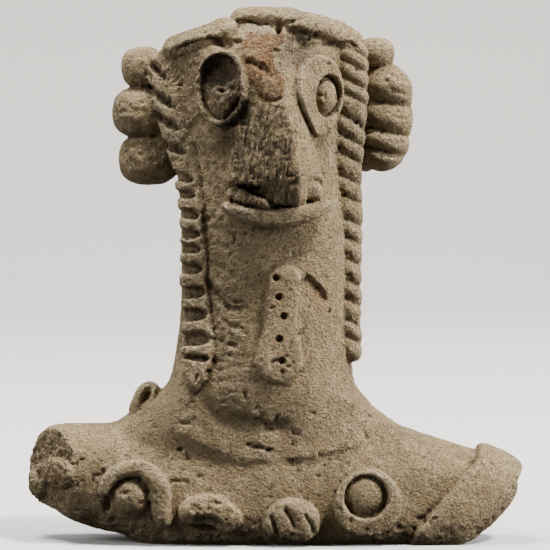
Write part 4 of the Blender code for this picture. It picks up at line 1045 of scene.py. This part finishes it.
class BUST_OT_weather(bpy.types.Operator):
    """Works in the folds, dents, breaks and pits, and marks where earth and painted shade, stains, and wear
    and painted highlights lie
    """

    bl_idname = "bust.weather"
    bl_label = "Wear and breaks"

    def execute(self, context):
        bust = bpy.data.objects["terracotta_bust"]
        skin = ClaySkin(bust.data)
        self.corners = fade(skin.hollow(12), 0.06, 0.26)
        self.fold(skin)
        self.dent(skin)
        skin.write()
        self.roughen(skin)
        skin.write()
        self.mark(skin)
        return {"FINISHED"}

    def fold(self, skin):
        x, _, z = skin.co.T
        front = fade(-skin.normal[:, 1], 0.15, 0.5)
        wobble = layered(skin.co, 6.0, 3)
        for path, left_width, right_width, depth in FOLDS:
            length = np.linalg.norm(np.diff(path, axis=0), axis=1).sum()
            stray = min(1.0, length / 15) * wobble
            d, share, left = distance_to_path(x + stray * 0.9, z + stray * 0.6, path)
            d = d / np.where(left, left_width, right_width)
            strength = fade(np.minimum(share, 1 - share), 0.0, 0.15) * np.clip(0.85 + 0.9 * stray, 0.2, 1.5)
            skin.push(-depth * np.exp(-(d**2)) * strength * front)

    def dent(self, skin):
        x, _, z = skin.co.T
        front = fade(-skin.normal[:, 1], 0.05, 0.4)
        wobble = layered(skin.co, 2.5, 11)
        for across, up, half_width, half_height, turn, depth in DENTS:
            angle = math.radians(turn)
            u = (x - across) * math.cos(angle) + (z - up) * math.sin(angle)
            v = -(x - across) * math.sin(angle) + (z - up) * math.cos(angle)
            d = np.hypot(u / half_width, v / half_height) + wobble * 0.25
            skin.push(-depth * fade(1.15 - d, 0.0, 0.75) * front)

    def roughen(self, skin):
        co = skin.co
        nose, stump, under = nose_front(skin), stump_break(skin), underside_break(skin)
        crumbling = rough_places(skin)
        swell = layered(co, 7.0, 21, 2) * sizes().swell / MM
        pits = np.clip(grain(co, 1.3, 31) - 0.45, 0, None) * 5.0 * fade(grain(co, 4.0, 35), -0.4, 0.5)
        front = fade(-skin.normal[:, 1], 0.2, 0.6)
        coarse = 1 + 1.6 * fade(-co[:, 0], 2, 12) * fade(co[:, 2], 34, 44) * front
        skin_pits = (0.5 * coarse * layered(co, 1.2, 41, 2) - pits) * sizes().pitting / MM
        strayed = co + 0.35 * np.stack([layered(co, 3.0, 56 + k, 2) for k in range(3)], axis=1)
        turned = strayed @ np.array([[0.97, 0.0, 0.24], [0.0, 1.0, 0.0], [-0.24, 0.0, 0.97]])
        stripes = layered(turned * np.array([1.0, 0.4, 0.16]), 0.9, 51, 2)
        breaks = layered(strayed * np.array([0.5, 0.6, 1.0]), 1.2, 59, 3)
        scored = np.clip(np.abs(stripes) * 2.6, 0, 1) - 0.5 + 0.9 * np.clip(breaks, -1, 0.1)
        crumb = 1 - 2 * np.abs(layered(co, 2.0, 61, 4)) + 0.6 * np.clip(layered(co, 0.9, 66, 2), -1, 0)
        amount = swell + skin_pits
        amount += scored * nose * 0.55
        amount += (crumb - 0.5) * sizes().roughness / MM * (crumbling + stump * 1.7 + under * 0.9)
        skin.push(amount * fade(co[:, 2], 0.2, 1.2))

    def mark(self, skin):
        co = skin.co
        x, y, z = co.T
        fine, broad = skin.hollow(10), skin.hollow(60)
        pit = fade(fine, 0.08, 0.3)
        deep = fade(broad, 0.3, 0.9)
        patchy = fade(layered(co, 5.0, 71), -0.3, 0.5)
        hair = fade(np.abs(x + 2), 14, 18) * fade(z, 34, 40)
        # Painted shade in the upper part of the left eye's hollow.
        left_eye_shade = spot(x, z, -13.0, 115.4, 5.8, 6.4, 1.5) * fade(-y, 4, 9)
        # Painted shade on the left side of the nose, with earth in its pits; it darkens the fibrous streaks
        # there too.
        nose_side_shade = spot(x, z, -10.2, 103.0, 4.4, 7.0, 1.5) * fade(-y, 12, 17)
        nose = nose_front(skin)
        # Darkening in corners, pits and deep hollows, more in the hair and on the nose: earth, and painted
        # shade where shade falls.
        dirt = self.corners * (0.7 + 0.3 * hair) + pit * (0.45 + 0.5 * nose) + deep * (0.3 + 0.5 * hair)
        # Painted shade on the lower lip's down-facing front.
        lip = fade(-y, 20.5, 22.0) * fade(z, 80.0, 81.0) * fade(84.2 - z, 0.0, 1.2)
        lip *= fade(14 - np.abs(x), 0, 3)
        dirt += left_eye_shade * 0.85 + nose_side_shade * (0.35 + 0.6 * pit) + lip * 0.3
        skin.paint("dirt", dirt)
        crumbling = rough_places(skin)
        flecks = fade(layered(co, 0.9, 91), 0.15, 0.5) * crumbling
        boss = spot(x, z, -1.2, 112.8, 2.4, 3.4, 2) * fade(-y, 10, 14)
        flake = spot(x, z, 10.8, 61.6, 2.4, 3.6, 2) * fade(-y, 10, 14)
        deposit = deep * (0.2 + 0.8 * patchy) * 0.7 + self.corners * patchy
        skin.paint("deposit", deposit + flecks * 0.6 + 0.5 * boss + 0.6 * flake)
        lobe = spot(x, z, -55.0, 17.2, 4.4, 3.8, 2) * fade(-x, 49, 51)
        patchy_stain = fade(layered(co, 2.2, 93, 4), -0.5, 0.2)
        orange = brow_break(skin)
        skin.paint("stain", orange * (0.65 + 0.35 * patchy_stain) * (1 - 0.75 * boss) + lobe * 0.4)
        scar = spot(x, z, 5.5, 122.2, 4.8, 4.8, 1.5) * fade(-y, 6, 10)
        skin.paint("scar", scar * (0.55 + 0.5 * layered(co, 1.6, 81)))
        # Paler on crests and edges: rubbed clay, and a painted highlight on them.
        worn = fade(-fine, 0.03, 0.16) * 0.8 + fade(-broad, 0.15, 0.6) * 0.3
        # The brow is painted paler: rubbed clay and a painted highlight where the top light falls.
        brow = spot(x, z, -4.5, 127.6, 5.5, 2.6, 2) * fade(-y, 4, 8)
        skin.paint("worn", worn * (1 - 0.7 * nose) + brow)
        skin.paint("broken", nose + crumbling + stump_break(skin) + underside_break(skin))
        skin.paint("fibrous", nose + scar + orange * 0.4 + nose_side_shade)


class Nodes:
    """A node tree with short calls to add and join its nodes."""

    def __init__(self, tree):
        self.tree = tree

    def add(self, kind, settings=(), **inputs):
        node = self.tree.nodes.new("ShaderNode" + kind)
        for key, value in dict(settings).items():
            setattr(node, key, value)
        for key, value in inputs.items():
            self.feed(node.inputs[int(key[1:]) if key[1:].isdigit() else key.replace("_", " ")], value)
        return node

    def feed(self, socket, value):
        """Links a value that is a node's output, or else sets it."""
        if isinstance(value, bpy.types.NodeSocket):
            self.tree.links.new(value, socket)
        else:
            socket.default_value = value

    def attribute(self, name):
        return self.add("Attribute", {"attribute_name": name}).outputs["Fac"]

    def noise(self, place, size, detail, roughness):
        noise = self.add("TexNoise", Vector=place, Scale=1 / size, Detail=detail, Roughness=roughness)
        return noise.outputs["Fac"]

    def holes(self, place, size):
        """1 in small uneven pits of about this size, and 0 between them."""
        return self.span(self.noise(place, size, 2.0, 0.6), 0.31, 0.37, 1.0, 0.0)

    def span(self, value, low, high, to_low=0.0, to_high=1.0):
        """The value's share of the way from low to high, smoothed and spread between two others."""
        return self.add(
            "MapRange", {"interpolation_type": "SMOOTHSTEP"}, Value=value, From_Min=low, From_Max=high,
            To_Min=to_low, To_Max=to_high,
        ).outputs["Result"]

    def times(self, first, second):
        return self.add("Math", {"operation": "MULTIPLY"}, i0=first, i1=second).outputs[0]

    def bump(self, height, distance, under=None, **settings):
        """A bump over another one's normal."""
        below = {"Normal": under} if under else {}
        return self.add("Bump", settings, Strength=1.0, Distance=distance, Height=height, **below).outputs[0]

    def mix(self, share, first, second, blend="MIX"):
        node = self.tree.nodes.new("ShaderNodeMix")
        node.data_type = "RGBA"
        node.blend_type = blend
        for socket, value in ((node.inputs[0], share), (node.inputs[6], first), (node.inputs[7], second)):
            self.feed(socket, value)
        return node.outputs[2]


def fired_clay():
    """Sandy buff clay: mottled body, grains, earth and painted shade in the corners, painted highlights on
    crests, stains and scars where they are marked.
    """
    colours = bpy.context.scene.bust_colours
    material = bpy.data.materials.new("fired_clay")
    material.use_nodes = True
    tree = material.node_tree
    shader = tree.nodes["Principled BSDF"]
    nodes = Nodes(tree)
    place = nodes.add("TexCoord").outputs["Object"]
    dirt, deposit, stain = nodes.attribute("dirt"), nodes.attribute("deposit"), nodes.attribute("stain")
    scar, worn, broken = nodes.attribute("scar"), nodes.attribute("worn"), nodes.attribute("broken")
    fibrous = nodes.attribute("fibrous")

    clouds = nodes.noise(place, 0.012, 5.0, 0.6)
    mottle = nodes.noise(place, 0.0025, 5.0, 0.65)
    grains = nodes.span(nodes.noise(place, 0.0007, 3.0, 0.6), 0.34, 0.66)
    sand = nodes.span(nodes.noise(place, 0.0004, 2.0, 0.6), 0.34, 0.66)
    holes = nodes.holes(place, 0.0015)
    lean = (0.0, math.radians(14), 0.0)
    along = nodes.add("Mapping", Vector=place, Rotation=lean, Scale=(1.0, 0.6, 0.14)).outputs[0]
    fibres = nodes.span(nodes.noise(along, 0.0006, 3.0, 0.6), 0.36, 0.64)
    body = nodes.mix(nodes.span(clouds, 0.3, 0.55), tuple(colours.clay_dull), tuple(colours.clay))
    body = nodes.mix(nodes.span(mottle, 0.45, 0.75, 0.0, 0.6), body, tuple(colours.clay_pale))
    # Rubbed crests and edges turn paler, which is also a painted highlight on them and on the brow.
    body = nodes.mix(nodes.times(worn, 0.55), body, tuple(colours.clay_pale))
    pink = nodes.times(deposit, nodes.span(mottle, 0.35, 0.6, 0.5, 1.0))
    body = nodes.mix(pink, body, tuple(colours.deposit))
    orange = nodes.times(stain, nodes.span(mottle, 0.3, 0.62, 0.45, 1.0))
    body = nodes.mix(orange, body, tuple(colours.stain))
    body = nodes.mix(scar, body, tuple(colours.scar))
    # Low grains take a darker copy of the body and high grains a paler colour, following the bump: painted
    # shade and painted highlight on the grain, with some earth in the low parts.
    hollow = nodes.mix(1.0, body, (0.46, 0.41, 0.34, 1.0), "MULTIPLY")
    grain_shade = nodes.times(nodes.span(grains, 0.0, 0.5, 0.55, 0.0), nodes.span(sand, 0.0, 1.0, 1.0, 0.6))
    body = nodes.mix(grain_shade, body, hollow)
    grain_highlights = nodes.times(nodes.span(sand, 0.7, 1.0), nodes.span(grains, 0.4, 1.0, 0.0, 0.55))
    body = nodes.mix(grain_highlights, body, (0.62, 0.52, 0.37, 1.0))
    shade = nodes.times(fibrous, nodes.span(fibres, 0.0, 0.6, 0.6, 0.0))
    body = nodes.mix(shade, body, tuple(colours.dirt))
    # Earth in the corners and the painted shade there, from the marked mask.
    earth = nodes.times(dirt, nodes.span(mottle, 0.25, 0.65, 0.7, 1.0))
    body = nodes.mix(earth, body, tuple(colours.dirt))
    # Pits painted darker: earth in them and painted shade.
    body = nodes.mix(nodes.times(holes, 0.5), body, tuple(colours.dirt))
    tree.links.new(body, shader.inputs["Base Color"])
    tree.links.new(nodes.span(mottle, 0.3, 0.7, 0.97, 0.84), shader.inputs["Roughness"])
    shader.inputs["Specular IOR Level"].default_value = 0.25

    grit = nodes.bump(sand, 0.0003)
    coarse = nodes.bump(nodes.times(grains, nodes.span(broken, 0.0, 1.0, 0.7, 1.3)), 0.0005, grit)
    pitted = nodes.bump(holes, 0.0003, coarse, invert=True)
    torn = nodes.bump(nodes.times(fibres, fibrous), 0.0009, pitted)
    tree.links.new(torn, shader.inputs["Normal"])
    return material


class BUST_OT_finish(bpy.types.Operator):
    """Thins the skin, breaks it off flat below, keeps it in its box and gives it its clay"""

    bl_idname = "bust.finish"
    bl_label = "Finish the bust"

    def execute(self, context):
        bust = bpy.data.objects["terracotta_bust"]
        bust.data.calc_loop_triangles()
        ratio = min(1.0, sizes().kept_triangles / len(bust.data.loop_triangles))
        apply_modifier(bust, "DECIMATE", ratio=ratio)
        make_active(bust)
        bpy.ops.object.mode_set(mode="EDIT")
        bpy.ops.mesh.select_all(action="SELECT")
        bpy.ops.mesh.bisect(plane_co=(0, 0, 0), plane_no=(0, 0, -1), use_fill=True, clear_outer=True)
        bpy.ops.object.mode_set(mode="OBJECT")
        self.punch(bust)
        co = np.empty(len(bust.data.vertices) * 3)
        bust.data.vertices.foreach_get("co", co)
        co = np.clip(co.reshape(-1, 3), np.array(cad_low), np.array(cad_high))
        bust.data.vertices.foreach_set("co", co.ravel())
        keep_one_skin(bust.data)
        bpy.ops.object.shade_smooth()
        bust.data.materials.append(fired_clay())
        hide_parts("bust")
        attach(bust, "root")
        return {"FINISHED"}

    def punch(self, bust):
        """Presses the row of holes in the throat strip, each a little tapered and turned."""
        surface = Surface(bust)
        sticks = []
        for k, place in enumerate(PUNCH_HOLES):
            deselect_all()
            radius = sizes().punch_radius
            bpy.ops.mesh.primitive_cone_add(
                vertices=14, radius1=radius * 0.75, radius2=radius * 1.3, depth=PUNCH_DEPTH
            )
            stick = bpy.context.active_object
            leaning = surface.seat(*place) @ Matrix.Rotation(PUNCH_LEAN, 4, "X")
            stick.data.transform(leaning @ Matrix.Rotation(k, 4, "Z"))
            sticks.append(stick)
        apply_modifier(bust, "BOOLEAN", operation="DIFFERENCE", object=join("stick", sticks), solver="EXACT")
        bpy.data.objects.remove(bpy.data.objects["stick"])


class BUST_OT_stage(bpy.types.Operator):
    """Sets the pale floor that sweeps up behind, the soft lights and the camera"""

    bl_idname = "bust.stage"
    bl_label = "Studio"

    def execute(self, context):
        studio = context.scene.bust_studio
        self.floor(studio)
        key = self.light("SUN", "key", KEY_PLACE, studio.key_power)
        key.angle = math.radians(10)
        key.color = (1.0, 0.96, 0.9)
        for name, place, share in SOFT_LIGHTS:
            soft = self.light("AREA", name, place, studio.soft_power * share)
            soft.shape = "DISK"
            soft.size = SOFT_LIGHT_WIDTH
        self.sky(context, studio)
        self.camera(context, studio)
        return {"FINISHED"}

    def floor(self, studio):
        deselect_all()
        bpy.ops.mesh.primitive_plane_add(size=FLOOR_SIZE, location=(0, 0, 0))
        floor = bpy.context.active_object
        floor.name = "studio_floor"
        bpy.ops.object.mode_set(mode="EDIT")
        bpy.ops.mesh.select_all(action="DESELECT")
        bpy.ops.object.mode_set(mode="OBJECT")
        for edge in floor.data.edges:
            edge.select = all(floor.data.vertices[v].co.y > 0 for v in edge.vertices)
        bpy.ops.object.mode_set(mode="EDIT")
        bpy.ops.mesh.select_mode(type="EDGE")
        bpy.ops.mesh.extrude_region_move(TRANSFORM_OT_translate={"value": (0, 0, BACKDROP_HEIGHT)})
        bpy.ops.object.mode_set(mode="OBJECT")
        apply_modifier(floor, "BEVEL", width=BACKDROP_BEND, segments=24, limit_method="ANGLE")
        bpy.ops.object.shade_smooth()
        material = bpy.data.materials.new("studio_paper")
        material.use_nodes = True
        paper = material.node_tree.nodes["Principled BSDF"]
        paper.inputs["Base Color"].default_value = tuple(studio.floor)
        paper.inputs["Roughness"].default_value = 0.9
        floor.data.materials.append(material)
        floor.visible_diffuse = False

    def light(self, kind, name, place, power):
        data = bpy.data.lights.new(name, kind)
        data.energy = power
        lamp = bpy.data.objects.new(name, data)
        lamp.location = place
        lamp.rotation_euler = (Vector(place) - LIGHTS_AIM).to_track_quat("Z", "Y").to_euler()
        bpy.context.scene.collection.objects.link(lamp)
        return data

    def sky(self, context, studio):
        world = bpy.data.worlds.new("studio")
        world.use_nodes = True
        background = world.node_tree.nodes["Background"]
        background.inputs["Color"].default_value = (1.0, 0.98, 0.95, 1.0)
        background.inputs["Strength"].default_value = studio.sky
        context.scene.world = world

    def camera(self, context, studio):
        data = bpy.data.cameras.new("camera")
        data.sensor_width = 36.0
        data.lens = data.sensor_width * studio.distance / SHOWN_WIDTH
        data.clip_end = 20.0
        camera = bpy.data.objects.new("camera", data)
        back = Vector((0, -math.cos(studio.elevation), math.sin(studio.elevation)))
        camera.location = CAMERA_AIM + back * studio.distance
        camera.rotation_euler = back.to_track_quat("Z", "Y").to_euler()
        context.scene.collection.objects.link(camera)
        context.scene.camera = camera


class BUST_PT_panel(bpy.types.Panel):
    bl_idname = "BUST_PT_panel"
    bl_label = "Clay bust"
    bl_space_type = "VIEW_3D"
    bl_region_type = "UI"
    bl_category = "Clay bust"

    def draw(self, context):
        for group in (context.scene.bust_sizes, context.scene.bust_colours, context.scene.bust_studio):
            for name in group.bl_rna.properties.keys():
                if name not in ("rna_type", "name"):
                    self.layout.prop(group, name)
        for step in STEPS:
            self.layout.operator(step.bl_idname)


STEPS = (
    BUST_OT_core, BUST_OT_face, BUST_OT_hair, BUST_OT_chest, BUST_OT_fuse, BUST_OT_weather, BUST_OT_finish,
    BUST_OT_stage,
)
GROUPS = (BustSizes, BustColours, StudioSettings)


def register():
    for group in (*GROUPS, *STEPS, BUST_PT_panel):
        bpy.utils.register_class(group)
    bpy.types.Scene.bust_sizes = PointerProperty(type=BustSizes)
    bpy.types.Scene.bust_colours = PointerProperty(type=BustColours)
    bpy.types.Scene.bust_studio = PointerProperty(type=StudioSettings)


def unregister():
    del bpy.types.Scene.bust_sizes
    del bpy.types.Scene.bust_colours
    del bpy.types.Scene.bust_studio
    for group in reversed((*GROUPS, *STEPS, BUST_PT_panel)):
        bpy.utils.unregister_class(group)


def main():
    register()
    for step in STEPS:
        category, name = step.bl_idname.split(".")
        getattr(getattr(bpy.ops, category), name)()


if __name__ == "__main__":
    main()
